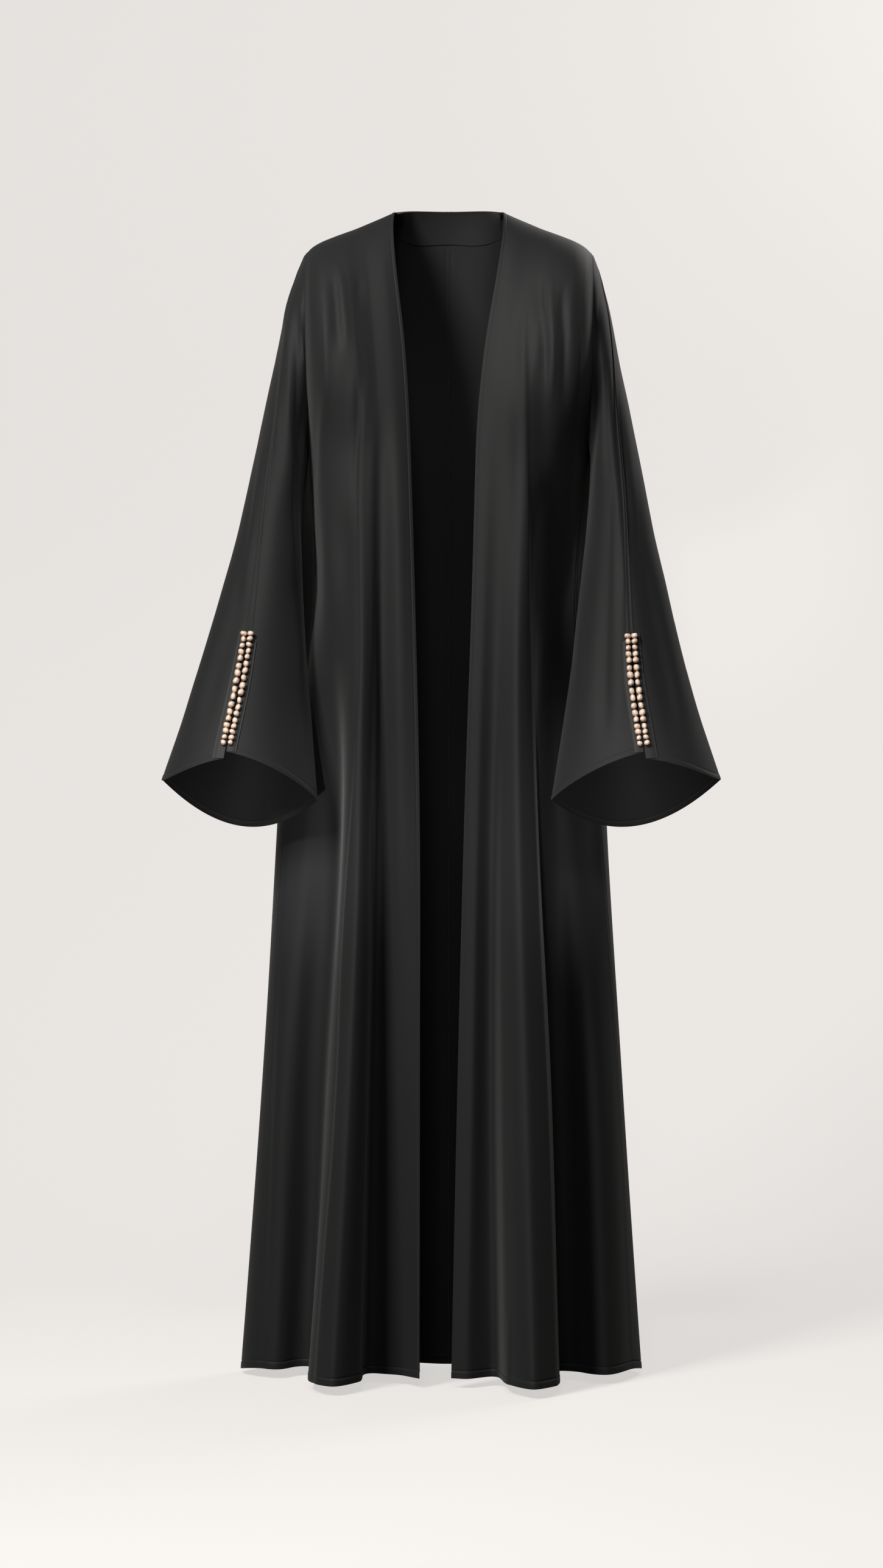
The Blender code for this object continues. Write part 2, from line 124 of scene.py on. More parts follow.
NECK_PLACE = 3  # the back's drape line that starts at the neck point
NECK_BLEND = 0.5  # level down to which the neck's corner shows in the rows
WALL = 0.0009  # the real crepe and the air in its folds
SIGN = {"right": -1.0, "left": 1.0}
SIDES = ("right", "left")
HALVES = [(side, half) for side in SIDES for half in ("front", "back")]
print("cut length:", LENGTH, "m, cloth wall:", WALL * 1000, "mm")

# %% [markdown]
# ## Drape lines
# Worn cloth falls in folds that start near the shoulder and open towards the hem. Each
# crest and trough is one row here: where it starts on the shoulder seam, then how far from
# the middle and how deep it lies at the chest, waist, hip, knee and hem. A sculptor would
# pull these by eye, and a table keeps them exact and easy to change.

# %% Fronts, from the open edge to the side seam
FRONT_LINES = {
    "right": (
        (0.00, (0.0485, 0.0420, 0.0365, 0.0362, 0.0366), (-0.112, -0.115, -0.112, -0.106, -0.100)),
        (0.16, (0.0660, 0.0620, 0.0600, 0.0610, 0.0630), (-0.120, -0.120, -0.110, -0.090, -0.066)),
        (0.34, (0.0860, 0.0840, 0.0860, 0.0920, 0.0975), (-0.121, -0.110, -0.094, -0.074, -0.055)),
        (0.46, (0.0960, 0.0940, 0.0960, 0.1010, 0.1130), (-0.121, -0.122, -0.122, -0.126, -0.132)),
        (0.56, (0.1080, 0.1070, 0.1100, 0.1220, 0.1430), (-0.119, -0.126, -0.138, -0.155, -0.172)),
        (0.70, (0.1320, 0.1280, 0.1260, 0.1450, 0.1735), (-0.110, -0.116, -0.122, -0.128, -0.130)),
        (0.82, (0.1520, 0.1500, 0.1480, 0.1760, 0.1830), (-0.094, -0.092, -0.030, -0.008, 0.010)),
        (0.92, (0.1680, 0.1640, 0.1820, 0.2080, 0.2180), (-0.058, -0.040, -0.006, -0.012, -0.012)),
        (1.00, (0.1780, 0.1700, 0.2060, 0.2240, 0.2380), (0.000, 0.012, 0.012, 0.006, -0.004)),
    ),
    "left": (
        (0.00, (0.0340, 0.0280, 0.0195, 0.0110, 0.0028), (-0.112, -0.115, -0.112, -0.105, -0.096)),
        (0.16, (0.0520, 0.0440, 0.0370, 0.0300, 0.0230), (-0.120, -0.120, -0.117, -0.112, -0.104)),
        (0.34, (0.0680, 0.0600, 0.0530, 0.0500, 0.0540), (-0.121, -0.119, -0.110, -0.096, -0.082)),
        (0.46, (0.0820, 0.0740, 0.0670, 0.0680, 0.0735), (-0.120, -0.124, -0.128, -0.138, -0.150)),
        (0.56, (0.0980, 0.0860, 0.0860, 0.0950, 0.1045), (-0.118, -0.130, -0.146, -0.170, -0.198)),
        (0.70, (0.1180, 0.1010, 0.1040, 0.1210, 0.1325), (-0.110, -0.112, -0.126, -0.142, -0.160)),
        (0.82, (0.1420, 0.1180, 0.1180, 0.1330, 0.1420), (-0.092, -0.052, -0.022, -0.022, -0.030)),
        (0.92, (0.1640, 0.1440, 0.1600, 0.1850, 0.1970), (-0.058, -0.010, 0.004, -0.040, -0.066)),
        (1.00, (0.1780, 0.1620, 0.1900, 0.2140, 0.2330), (0.000, 0.022, 0.020, 0.004, -0.008)),
    ),
}
print("drape lines on a front:", len(FRONT_LINES["right"]))

# %% Back, from the side to the centre seam
BACK_LINES = (
    (0.88, (0.1660, 0.2100, 0.2170, 0.2370, 0.2660), (0.070, 0.078, 0.061, 0.048, 0.046)),
    (0.50, (0.1240, 0.1280, 0.1560, 0.1840, 0.2080), (0.084, 0.090, 0.092, 0.100, 0.108)),
    (0.00, (0.0820, 0.0860, 0.1040, 0.1200, 0.1350), (0.094, 0.101, 0.104, 0.098, 0.088)),
    (-0.50, (0.0400, 0.0420, 0.0520, 0.0620, 0.0700), (0.098, 0.106, 0.114, 0.122, 0.130)),
    (-1.00, (0.0, 0.0, 0.0, 0.0, 0.0), (0.099, 0.107, 0.112, 0.114, 0.112)),
)
print("drape lines on a back:", len(BACK_LINES))

# %% [markdown]
# ## Smooth curves through a table
# A curve has to pass through every row of a table without a kink. Each row gets a slope
# from its two neighbours, and the stretch between two rows is a cubic that meets both
# slopes. Numpy works out a whole row of cloth points in one call.


# %% A smooth curve through rows of values
def curve(knots, values, places, before=None, after=None):
    """Values at many places; before and after are points past the ends that bend them."""
    knots, values = np.asarray(knots, float), np.asarray(values, float)
    values = values.reshape(len(knots), -1)
    gaps, steps = np.diff(knots), np.diff(values, axis=0)
    first = (gaps[0], steps[0]) if before is None else (gap_to(values[0], before), values[0] - before)
    last = (gaps[-1], steps[-1]) if after is None else (gap_to(values[-1], after), after - values[-1])
    wide = np.concatenate(([first[0]], gaps, [last[0]]))[:, None]
    steep = np.vstack((first[1], steps, last[1])) / wide
    slope = (steep[:-1] * wide[1:] + steep[1:] * wide[:-1]) / (wide[:-1] + wide[1:])
    index = np.clip(np.searchsorted(knots, places, side="right") - 1, 0, len(knots) - 2)
    gap = gaps[index][:, None]
    s = (places - knots[index])[:, None] / gap
    start = values[index] * (2 * s**3 - 3 * s**2 + 1) + slope[index] * gap * (s**3 - 2 * s**2 + s)
    end = values[index + 1] * (3 * s**2 - 2 * s**3) + slope[index + 1] * gap * (s**3 - s**2)
    return start + end


def gap_to(first, second):
    return max(float(np.linalg.norm(np.asarray(first) - second)), 1e-6)


def through(points, places, before=None, after=None):
    """Points on a smooth curve through points, at whole and part counts of them."""
    points = np.asarray(points)
    knots = np.concatenate(([0.0], np.cumsum([gap_to(a, b) for a, b in zip(points, points[1:])])))
    along = np.interp(places, range(len(points)), knots)
    return curve(knots, points, along, before, after)


def bezier(controls, share):
    """Points on a Bezier curve; the controls may hold one point or a row of them."""
    share = np.asarray(share, float)[:, None]
    rest = 1 - share
    weights = (rest**3, 3 * rest**2 * share, 3 * rest * share**2, share**3)
    return sum(weight * point for weight, point in zip(weights, controls))


print("test of the curve, halfway:", curve((0, 1, 2), (0, 1, 4), np.array([0.5, 1.5])).ravel())

# %% [markdown]
# ## The sleeves' form
# Each sleeve is a bell that hangs a little forward and opens wide at the cuff. Going down
# it, every section is an oval that turns pointed towards the cuff, where the cloth folds at
# its front and back. The last two columns say where around the oval the two seams run.

# %% Sleeve sections, from the armhole to the cuff
# share of the length, outer side, inner side, depth of the middle, half depth, rise of the
# front, and the overarm and underarm seams in degrees
SLEEVE_SECTIONS = {
    "right": (
        (0.00, 0.1825, 0.1780, 0.000, 0.075, 0.000, 0.0, 180.0),
        (0.06, 0.1990, 0.1830, 0.000, 0.078, 0.000, 22.0, 184.0),
        (0.20, 0.2200, 0.1870, -0.003, 0.075, 0.002, 54.0, 195.0),
        (0.40, 0.2480, 0.1860, -0.012, 0.070, 0.006, 66.0, 214.0),
        (0.60, 0.2773, 0.1800, -0.030, 0.064, 0.014, 74.0, 232.0),
        (0.80, 0.3147, 0.1720, -0.056, 0.060, 0.028, 79.0, 246.0),
        (1.00, 0.3587, 0.1640, -0.084, 0.062, 0.046, 81.5, 255.0),
    ),
    "left": (
        (0.00, 0.1825, 0.1780, 0.000, 0.075, 0.000, 0.0, 180.0),
        (0.06, 0.1970, 0.1820, 0.000, 0.078, 0.000, 22.0, 184.0),
        (0.20, 0.2156, 0.1790, -0.004, 0.075, 0.002, 54.0, 195.0),
        (0.40, 0.2426, 0.1690, -0.016, 0.070, 0.006, 68.0, 214.0),
        (0.60, 0.2675, 0.1570, -0.038, 0.064, 0.014, 78.0, 232.0),
        (0.80, 0.2977, 0.1430, -0.064, 0.060, 0.028, 84.0, 246.0),
        (1.00, 0.3393, 0.1275, -0.090, 0.062, 0.046, 86.0, 255.0),
    ),
}
CUFF_OUTER_DROP, CUFF_INNER_DROP = 0.720, 0.746
CUFF_POINT, CUFF_POINT_BACK = 0.5, 1.0  # how pointed the cuff's oval is in front and behind
SLIT_TOP = 0.712  # share of the sleeve's length, as the next two
SLIT_STEP = 0.017  # how much lower the slit's back edge ends
STEP_START = 0.86  # where it begins to hang lower
STEP_REACH = 0.42  # share of the back half over which that dies away
print("sleeve sections:", len(SLEEVE_SECTIONS["right"]))


# %% Points on a sleeve
def sleeve_surface(side, degrees, share):
    """0 degrees is the sleeve's outer side, 90 its front and 180 its inner side."""
    degrees, share = np.broadcast_arrays(np.asarray(degrees, float), np.asarray(share, float))
    table = np.array(SLEEVE_SECTIONS[side])
    rows = curve(table[:, 0], table[:, 1:6], share.ravel())
    outer, inner, middle, half_depth, rise = rows.T.reshape(5, *share.shape)
    outer_drop = SHOULDER_DROP + (CUFF_OUTER_DROP - SHOULDER_DROP) * share
    inner_drop = UNDERARM_DROP + (CUFF_INNER_DROP - UNDERARM_DROP) * share
    across, forward = np.cos(np.radians(degrees)), np.sin(np.radians(degrees))
    point = np.where(forward > 0, CUFF_POINT, CUFF_POINT_BACK)
    forward = np.sign(forward) * np.abs(forward) ** (1 + point * np.minimum(share, 1.0))
    x = (outer + inner) / 2 + (outer - inner) / 2 * across
    y = middle - half_depth * forward
    z = -(outer_drop + inner_drop) / 2 + (inner_drop - outer_drop) / 2 * across + rise * forward
    return np.stack((SIGN[side] * x, y, z), axis=-1)


def sleeve_seams(side, share):
    """Degrees of the overarm and the underarm seam."""
    table = np.array(SLEEVE_SECTIONS[side])
    seams = curve(table[:, 0], table[:, 6:8], np.ravel(share))
    return seams.T.reshape(2, *np.shape(share))


print("cuff's outer end:", sleeve_surface("right", 0.0, 1.0).round(3))

# %% [markdown]
# ## The body's form
# A front hangs from the shoulder seam over the chest and then falls straight. Each drape
# line is a Bezier curve down to the chest and the table's curve below it, and a row of
# cloth is a smooth curve across all the lines. Beside the armhole the rows are drawn to
# the seam of the sleeve, so that the two meet.


# %% Points on the armhole and the shoulder
def armhole_degrees(levels):
    """Place around the armhole that is level with the yoke's outer line."""
    top = np.array((SHOULDER_HALF_WIDTH, 0.0, -SHOULDER_DROP))
    bottom = np.array((UNDERARM_HALF_WIDTH, 0.0, -UNDERARM_DROP))
    above = bottom + np.array((0.0, 0.0, CHEST_FALL))
    height = bezier((top, top, above, bottom), levels)[:, 2]
    middle = -(SHOULDER_DROP + UNDERARM_DROP) / 2
    half = (UNDERARM_DROP - SHOULDER_DROP) / 2
    return np.degrees(np.arccos(np.clip((height - middle) / half, -1.0, 1.0)))


def shoulder_point(place):
    """Point on the shoulder seam, or on the back neck for a place below 0."""
    if place >= 0:
        x = NECK_HALF_WIDTH + (SHOULDER_HALF_WIDTH - NECK_HALF_WIDTH) * place
        return np.array((x, 0.0, -curve(*SHOULDER_SLOPE, np.array([place])).item()))
    turn = math.radians(90 * -place)
    return np.array((NECK_HALF_WIDTH * math.cos(turn), NECK_DEPTH * math.sin(turn),
                     NECK_RISE * math.sin(turn) ** 0.5))


print("shoulder tip:", shoulder_point(1.0).round(3))


# %% Points down one drape line
def line_path(line, levels):
    """Level 0 is the shoulder, 1 the chest and 5 the hem."""
    place, distances, depths = line
    levels, drops = np.asarray(levels, float), np.array(SECTIONS)
    path = np.empty((len(levels), 3))
    low = levels >= 1
    section = np.minimum(levels[low].astype(int) - 1, len(SECTIONS) - 2)
    drop = drops[section] + (levels[low] - 1 - section) * (drops[section + 1] - drops[section])
    x, y = curve(drops, np.column_stack((distances, depths)), drop).T
    dip = BACK_DIP * np.clip(y / depths[0], 0.0, 1.0) if depths[0] > 0 else 0.0
    below_knee = np.maximum(0.0, drop - SECTIONS[-2]) / (LENGTH - SECTIONS[-2])
    path[low] = np.column_stack((x, y, -drop - dip * below_knee))
    top = shoulder_point(place)
    chest = np.array((distances[0], depths[0], -SECTIONS[0]))
    reach, sink = BUST_REACH * (depths[0] - top[1]), SHOULDER_FALL
    if place < 0:
        reach, sink = NAPE_REACH * reach, NAPE_FALL
    over = top + np.array((0.0, reach, -sink))
    fall = chest + np.array((CHEST_LEAN * (top[0] - chest[0]), 0.0, CHEST_FALL))
    path[~low] = bezier((top, over, fall, chest), levels[~low])
    if place == 0 and depths[0] < 0:
        path[~low, 0] += NECK_EDGE_BOW * np.sin(math.pi * np.minimum(1.0, levels[~low] / NECK_EDGE_END))
    return path


# %% Points on a whole panel
def panel_surface(side, part, places, levels):
    """places has a row for each level, and counts drape lines from the panel's first one."""
    front = FRONT_LINES[side]
    back = [(line[0], tuple(np.array(BACK_WIDTH[side]) * line[1]), line[2]) for line in BACK_LINES]
    lines = front if part == "front" else [front[-1]] + back
    paths = np.array([line_path(line, levels) for line in lines])
    beyond = line_path(back[0] if part == "front" else front[-2], levels)
    turns = armhole_degrees(np.minimum(levels, 1.0))
    armhole = sleeve_surface("left", turns if part == "front" else -turns, 0.0)
    rows = []
    for row, level in enumerate(levels):
        points, place, before, after = paths[:, row], places[row], None, None
        if part == "back":
            after = points[-2] * np.array((-1.0, 1.0, 1.0))
        if level >= 1 and part == "front":
            after = beyond[row]
        elif level >= 1:
            before = beyond[row]
        cloth = through(points, place, before, after)
        if part == "back" and level < NECK_BLEND:
            corner = through(points[:NECK_PLACE + 1], np.minimum(place, NECK_PLACE))
            neck = through(points[NECK_PLACE:], np.maximum(place - NECK_PLACE, 0.0), None, after)
            corner = np.where((place > NECK_PLACE)[:, None], neck, corner)
            cloth = corner + (cloth - corner) * level / NECK_BLEND
        if level < 1:
            share = place / (len(lines) - 1)
            share = share if part == "front" else 1 - share
            outer = points[-1] if part == "front" else points[0]
            cloth = cloth + (armhole[row] - outer) * (share**SIDE_PULL)[:, None]
        rows.append(cloth)
    return np.array(rows) * np.array((SIGN[side], 1.0, 1.0))


print("hem's front corner:", panel_surface("right", "front", np.zeros((1, 1)), [5.0]).round(3).ravel())

# %% [markdown]
# ## Working on a grid of cloth
# Every piece of cloth here is a grid of points, in rows down and columns across. A few
# small tools serve them all: the distance along rows or columns from either end, the
# direction out of the cloth, a light smoothing as an iron gives, and a soft bump that
# seams, hems and creases are made of.


# %% Tools for a grid
def run_length(grid, axis):
    """Distance from the first row or column, along the cloth."""
    steps = np.linalg.norm(np.diff(grid, axis=axis), axis=-1)
    start = np.zeros_like(np.take(steps, [0], axis=axis))
    return np.concatenate((start, np.cumsum(steps, axis=axis)), axis=axis)


def length_left(grid, axis):
    """Distance to the last row or column, along the cloth."""
    return np.flip(run_length(np.flip(grid, axis), axis), axis)


def out_of(grid, centres):
    """Unit direction out of the cloth, away from a centre point for each row."""
    normal = np.cross(np.gradient(grid, axis=1), np.gradient(grid, axis=0))
    normal /= np.maximum(np.linalg.norm(normal, axis=-1, keepdims=True), 1e-12)
    away = np.sum(normal * (grid - centres[:, None, :]))
    return normal if away > 0 else -normal


def soften(grid, rounds, axis, strength):
    """Smooth along an axis; strength is 0 where a point must stay."""
    for _ in range(rounds):
        ahead, behind = np.roll(grid, -1, axis=axis), np.roll(grid, 1, axis=axis)
        grid = grid + (0.25 * (ahead + behind) - 0.5 * grid) * strength[..., None]
    return grid


def bump(offset, width):
    """1 at no offset, falling softly to 0."""
    return np.exp(-((offset / width) ** 2))


def ramp(value, start, end):
    """0 before start, 1 after end, smooth between."""
    s = np.clip((value - start) / (end - start), 0.0, 1.0)
    return s * s * (3 - 2 * s)


print("ramp, halfway:", ramp(0.5, 0.0, 1.0))

# %% [markdown]
# ## Creases
# The folds of the solids are broad. On the real cloak finer creases ride on them: long
# soft ridges where the cloth hangs from the shoulder, the sharp edge of the fold on each
# front, and shallow troughs beside it. Each row below is one crease: the pixels it passes
# through in the picture, its width before and after it in pixels, and its height in mm. A
# negative height is a trough. A pixel is about 0.76 mm on the fronts. The cloth is pushed
# along its own outward direction, so a crease stays on it from every side.

# %% Creases of the fronts
FRONT_CREASES = {
    "right": (
        (((552, 426), (558, 451), (563, 496), (567, 537), (571, 580)), 5, 9, 1.9),
        (((545, 440), (550, 480), (553, 520), (556, 590)), 9, 6, -2.6),
        (((533, 440), (535, 547), (536, 623), (533, 665), (528, 719), (526, 783), (522, 846),
          (520, 940)), 6, 8, 1.9),
        (((524, 960), (510, 1250), (494, 1500), (474, 1900), (452, 2200), (448, 2255)), 30, 16, 4.0),
        (((590, 450), (588, 500)), 6, 8, -1.0),
        (((609, 600), (600, 640), (598, 687), (594, 731), (592, 790), (592, 900), (594, 1100), (581, 1320),
          (571, 1450), (562, 1600), (557, 1750), (548, 1900), (536, 2050), (521, 2255)), 4, 9, 1.9),
        (((588, 620), (588, 690), (585, 740), (582, 830)), 5, 4, -1.5),
        (((582, 600), (576, 664), (570, 740)), 7, 7, 1.0),
        (((560, 800), (562, 900), (557, 1150), (540, 1500), (520, 1900), (494, 2200),
          (490, 2255)), 18, 18, -5.4),
        (((630, 640), (626, 760), (622, 1000), (619, 1300), (619, 1600), (616, 1900),
          (612, 2255)), 12, 14, -3.0),
        (((655, 700), (655, 1000), (662, 1500), (668, 2000), (672, 2255)), 16, 14, 1.0),
    ),
    "left": (
        (((806, 600), (808, 900), (806, 1150), (800, 1500), (795, 1900), (784, 2255)), 18, 20, -2.2),
        (((838, 560), (839, 1000), (845, 1400), (848, 1800), (844, 2255)), 16, 12, 1.2),
        (((860, 470), (861, 560), (863, 700), (867, 1000), (871, 1200), (882, 1500),
          (896, 1800), (911, 2255)), 12, 5, 2.8),
        (((888, 540), (893, 700), (900, 1000), (908, 1200), (920, 1500), (932, 1800),
          (946, 2255)), 22, 16, -5.0),
        (((905, 440), (905, 500), (908, 560), (907, 620), (906, 680)), 6, 6, 2.2),
        (((886, 440), (887, 500), (894, 560), (896, 640)), 10, 6, -3.2),
        (((926, 450), (924, 500), (928, 560), (928, 620), (926, 680)), 8, 7, -3.4),
        (((944, 480), (950, 560), (947, 640), (943, 740), (938, 880), (936, 980)), 14, 6, 2.2),
        (((838, 2150), (836, 2255)), 4, 4, 0.8),
    ),
}
print("creases on the fronts:", sum(len(rows) for rows in FRONT_CREASES.values()))

# %% [markdown]
# The sleeves have long ridges from the shoulder and short gathers at the sleeve head. The
# back isn't in the picture, so it has the same kind of soft folds, uneven in length and
# spacing, as cloth that hangs from the shoulder blades makes.

# %% Creases of the sleeves and the back
SLEEVE_CREASES = {
    "right": (
        (((475, 500), (470, 560), (463, 612), (457, 674), (452, 760)), 4, 7, 1.8),
        (((468, 500), (462, 560), (455, 620), (448, 690)), 6, 4, -1.4),
        (((482, 430), (477, 500), (476, 566), (474, 655), (476, 800), (478, 1000)), 12, 5, 2.4),
        (((497, 440), (496, 500), (498, 560), (500, 640)), 4, 5, 2.2),
        (((490, 440), (488, 500), (487, 560), (488, 660), (484, 740)), 5, 5, -2.4),
        (((508, 450), (508, 520), (510, 590)), 5, 5, -2.2),
        (((436, 700), (420, 820), (404, 940), (392, 1020)), 5, 8, 1.3),
        (((428, 700), (412, 820), (396, 940), (384, 1020)), 7, 5, -1.1),
        (((384, 860), (360, 980), (330, 1110), (304, 1230)), 18, 16, 2.0),
        (((402, 900), (384, 1020), (352, 1120), (328, 1230)), 14, 14, -2.2),
        (((486, 820), (487, 940), (490, 1060), (496, 1190)), 30, 9, 3.4),
        (((500, 640), (504, 760), (508, 880), (515, 1040), (522, 1210)), 12, 14, -2.0),
        (((478, 960), (486, 1080), (492, 1180), (498, 1290)), 16, 12, 1.2),
    ),
    "left": (
        (((980, 430), (972, 490), (964, 560), (960, 640)), 5, 6, 2.0),
        (((990, 430), (986, 520), (982, 600), (984, 700)), 6, 6, -2.4),
        (((998, 520), (1004, 706), (1013, 813), (1025, 955), (1032, 1040)), 4, 6, 1.5),
        (((1010, 560), (1016, 706), (1026, 813), (1038, 955)), 6, 7, -1.4),
        (((1022, 600), (1034, 760), (1050, 900), (1064, 1010)), 5, 7, 1.2),
        (((1068, 860), (1092, 980), (1116, 1100), (1140, 1220)), 16, 16, 1.9),
        (((1046, 800), (1054, 900), (1076, 1030), (1100, 1150), (1114, 1240)), 13, 12, -4.4),
        (((982, 714), (968, 852), (954, 997), (948, 1170)), 8, 8, 2.0),
        (((1002, 740), (998, 880), (994, 1020), (992, 1150), (994, 1250)), 16, 10, -4.2),
        (((1024, 900), (1020, 1040), (1020, 1140), (1020, 1230)), 12, 8, 1.4),
    ),
}
BACK_CREASES = {
    "right": (
        (((600, 560), (592, 800), (575, 1200), (560, 1700), (548, 2245)), 26, 22, 2.6),
        (((560, 620), (548, 900), (530, 1300), (512, 1800), (500, 2245)), 20, 24, -2.4),
        (((660, 520), (656, 900), (650, 1400), (640, 1900), (632, 2245)), 20, 24, -2.2),
        (((540, 430), (556, 520), (566, 640)), 12, 14, 1.8),
    ),
    "left": (
        (((790, 620), (800, 900), (812, 1400), (826, 1900), (836, 2245)), 22, 22, -2.4),
        (((860, 540), (872, 820), (888, 1300), (905, 1800), (914, 2245)), 24, 22, 2.5),
        (((910, 660), (922, 1000), (942, 1500), (962, 2245)), 18, 22, -2.2),
        (((902, 430), (888, 510), (878, 600)), 12, 13, 1.6),
    ),
}
MILLIMETRE = 0.001
CREASE_FADE = 0.3  # share of a crease over which each end dies away
LONGEST_FADE = 120  # pixels, for a long crease
HEM_PIXEL = 2200  # a crease that ends below this runs out through the hem


def crease_push(grid, creases):
    """How far out each point of a grid is pushed."""
    across, down = in_picture(grid)
    push = np.zeros(across.shape)
    for path, before, after, height in creases:
        x, y = np.array(path, float).T
        middle = curve(y, x, np.clip(down, y[0], y[-1]).ravel()).reshape(down.shape)
        offset = across - middle
        fading = min(CREASE_FADE * (y[-1] - y[0]), LONGEST_FADE)
        fade = ramp(down - y[0], 0.0, fading)
        if y[-1] < HEM_PIXEL:
            fade = fade * ramp(y[-1] - down, 0.0, fading)
        push += height * MILLIMETRE * bump(offset, np.where(offset < 0, before, after)) * fade
    return push


print("creases on sleeves and back:", len(SLEEVE_CREASES["right"]) + len(BACK_CREASES["right"]))

# %% [markdown]
# ## From a grid to a cloth piece
# Cloth has two sides and a thickness, so a piece is a closed shell: the outer grid, the same
# grid moved in by the wall, and a strip round the rim. Solidify could add the wall, but here
# it is built with the grid, so that neighbours meet exactly at their seams. The piece keeps
# a UV map in metres: across from its first column and up from its hem, which is what
# stitches and weave are later measured on.


# %% Build a closed shell
SHARP_EDGE = math.radians(50)


def cloth_shell(name, outer, centres, wall=WALL):
    rows, columns = outer.shape[:2]
    count = rows * columns
    normal = out_of(outer, centres)
    points = np.concatenate((outer.reshape(-1, 3), (outer - normal * wall).reshape(-1, 3)))
    number = np.arange(count).reshape(rows, columns)
    quads = np.stack((number[:-1, :-1], number[:-1, 1:], number[1:, 1:], number[1:, :-1]), -1)
    quads = quads.reshape(-1, 4)
    around = np.concatenate((number[0], number[1:, -1], number[-1, -2::-1], number[-2:0:-1, 0]))
    beyond = np.roll(around, -1)
    rim = np.stack((around, around + count, beyond + count, beyond), -1)
    faces = np.concatenate((quads, quads[:, ::-1] + count, rim))
    first = outer[0, 0], outer[0, 1], outer[1, 1]
    turn = np.dot(np.cross(first[1] - first[0], first[2] - first[1]), normal[0, 0])
    if turn < 0:
        faces = faces[:, ::-1]
    mesh = bpy.data.meshes.new(name)
    mesh.from_pydata(points, [], faces.tolist())
    across, up = run_length(outer, 1), length_left(outer, 0)
    measure = np.tile(np.stack((across, up), -1).reshape(-1, 2), (2, 1))
    corners = np.empty(len(mesh.loops), int)
    mesh.loops.foreach_get("vertex_index", corners)
    mesh.uv_layers.new(name="metres").data.foreach_set("uv", measure[corners].ravel())
    mesh.shade_smooth()
    mesh.set_sharp_from_angle(angle=SHARP_EDGE)
    piece = bpy.data.objects.new(name, mesh)
    bpy.context.scene.collection.objects.link(piece)
    print(name, "faces:", len(faces), "height:", round(float(np.ptp(points[:, 2])), 3), "m")
    return piece


# %% [markdown]
# ## Rows and columns
# Rows stand about 10 mm apart and crowd at the hem, where a narrow turned edge needs them.
# Columns stand about 4 mm apart at most, and crowd at the front edge for the same reason.

# %% Where the rows lie
YOKE_ROWS, YOKE_CROWD = 34, 1.15
SECTION_ROWS = (22, 25, 32, 38)
HEM_LEVEL = len(SECTIONS)
HEM_DEPTH = 0.0095
HEM_ROWS = (0.030, 0.020, 0.015, 0.0125, 0.0110, 0.0102, 0.0095, 0.0088, 0.0078, 0.006,
            0.004, 0.002, 0.0008, 0.0)  # metres above the hem
HEM_MARGIN = 1.3  # the even rows end above the first of those, at this many times its height


def body_levels():
    rows = [(row / YOKE_ROWS) ** YOKE_CROWD for row in range(YOKE_ROWS)]
    for section, count in enumerate(SECTION_ROWS):
        rows += [1 + section + row / count for row in range(count)]
    last = SECTIONS[-1] - SECTIONS[-2]
    rows = [level for level in rows if level < HEM_LEVEL - HEM_MARGIN * HEM_ROWS[0] / last]
    return np.array(rows + [HEM_LEVEL - distance / last for distance in HEM_ROWS])


LEVELS = body_levels()
print("rows on the body:", len(LEVELS))

# %% Where the columns lie
COLUMN_WIDTH, FEWEST, MOST = 0.0026, 12, 34  # between two drape lines
EDGE_STEPS = (0.0, 0.0006, 0.0014, 0.0024, 0.0032, 0.0038, 0.0043, 0.0048, 0.0054, 0.0064,
              0.008, 0.010, 0.013)  # metres from the open edge
EDGE_REST = 6


def then_even(start, count):
    """Columns at start, then even ones from the last of them up to 1."""
    even = np.linspace(0, 1, count)[None, 1:]
    return np.concatenate((start, even * (1 - start[:, -1:]) + start[:, -1:]), axis=1)


def panel_places(side, part):
    """Columns of a panel; beside a front's open edge they keep their distance in metres."""
    count = len(FRONT_LINES[side]) - 1 if part == "front" else len(BACK_LINES)
    marks = np.tile(np.arange(count + 1.0), (len(LEVELS), 1))
    widths = np.diff(run_length(panel_surface(side, part, marks, LEVELS), 1), axis=1)
    places = []
    for index in range(count):
        if part == "front" and index == 0:
            start = np.array(EDGE_STEPS)[None, :] / widths[:, :1]
            places.append(then_even(start, EDGE_REST)[:, :-1])
        else:
            columns = int(np.clip(np.ceil(widths[:, index].max() / COLUMN_WIDTH), FEWEST, MOST))
            places.append(np.tile(index + np.arange(columns) / columns, (len(LEVELS), 1)))
    places.append(np.full((len(LEVELS), 1), float(count)))
    return np.concatenate(places, axis=1)


print("columns on a front:", panel_places("right", "front").shape[1])

# %% [markdown]
# ## The fronts and the backs
# The fronts are cut in one from shoulder to hem, with their open edge turned twice and
# stitched, and the hem turned and stitched too. Beside a seam the cloth stands up a little
# over the seam allowance, and the seam itself stays low, where its neighbour meets it.

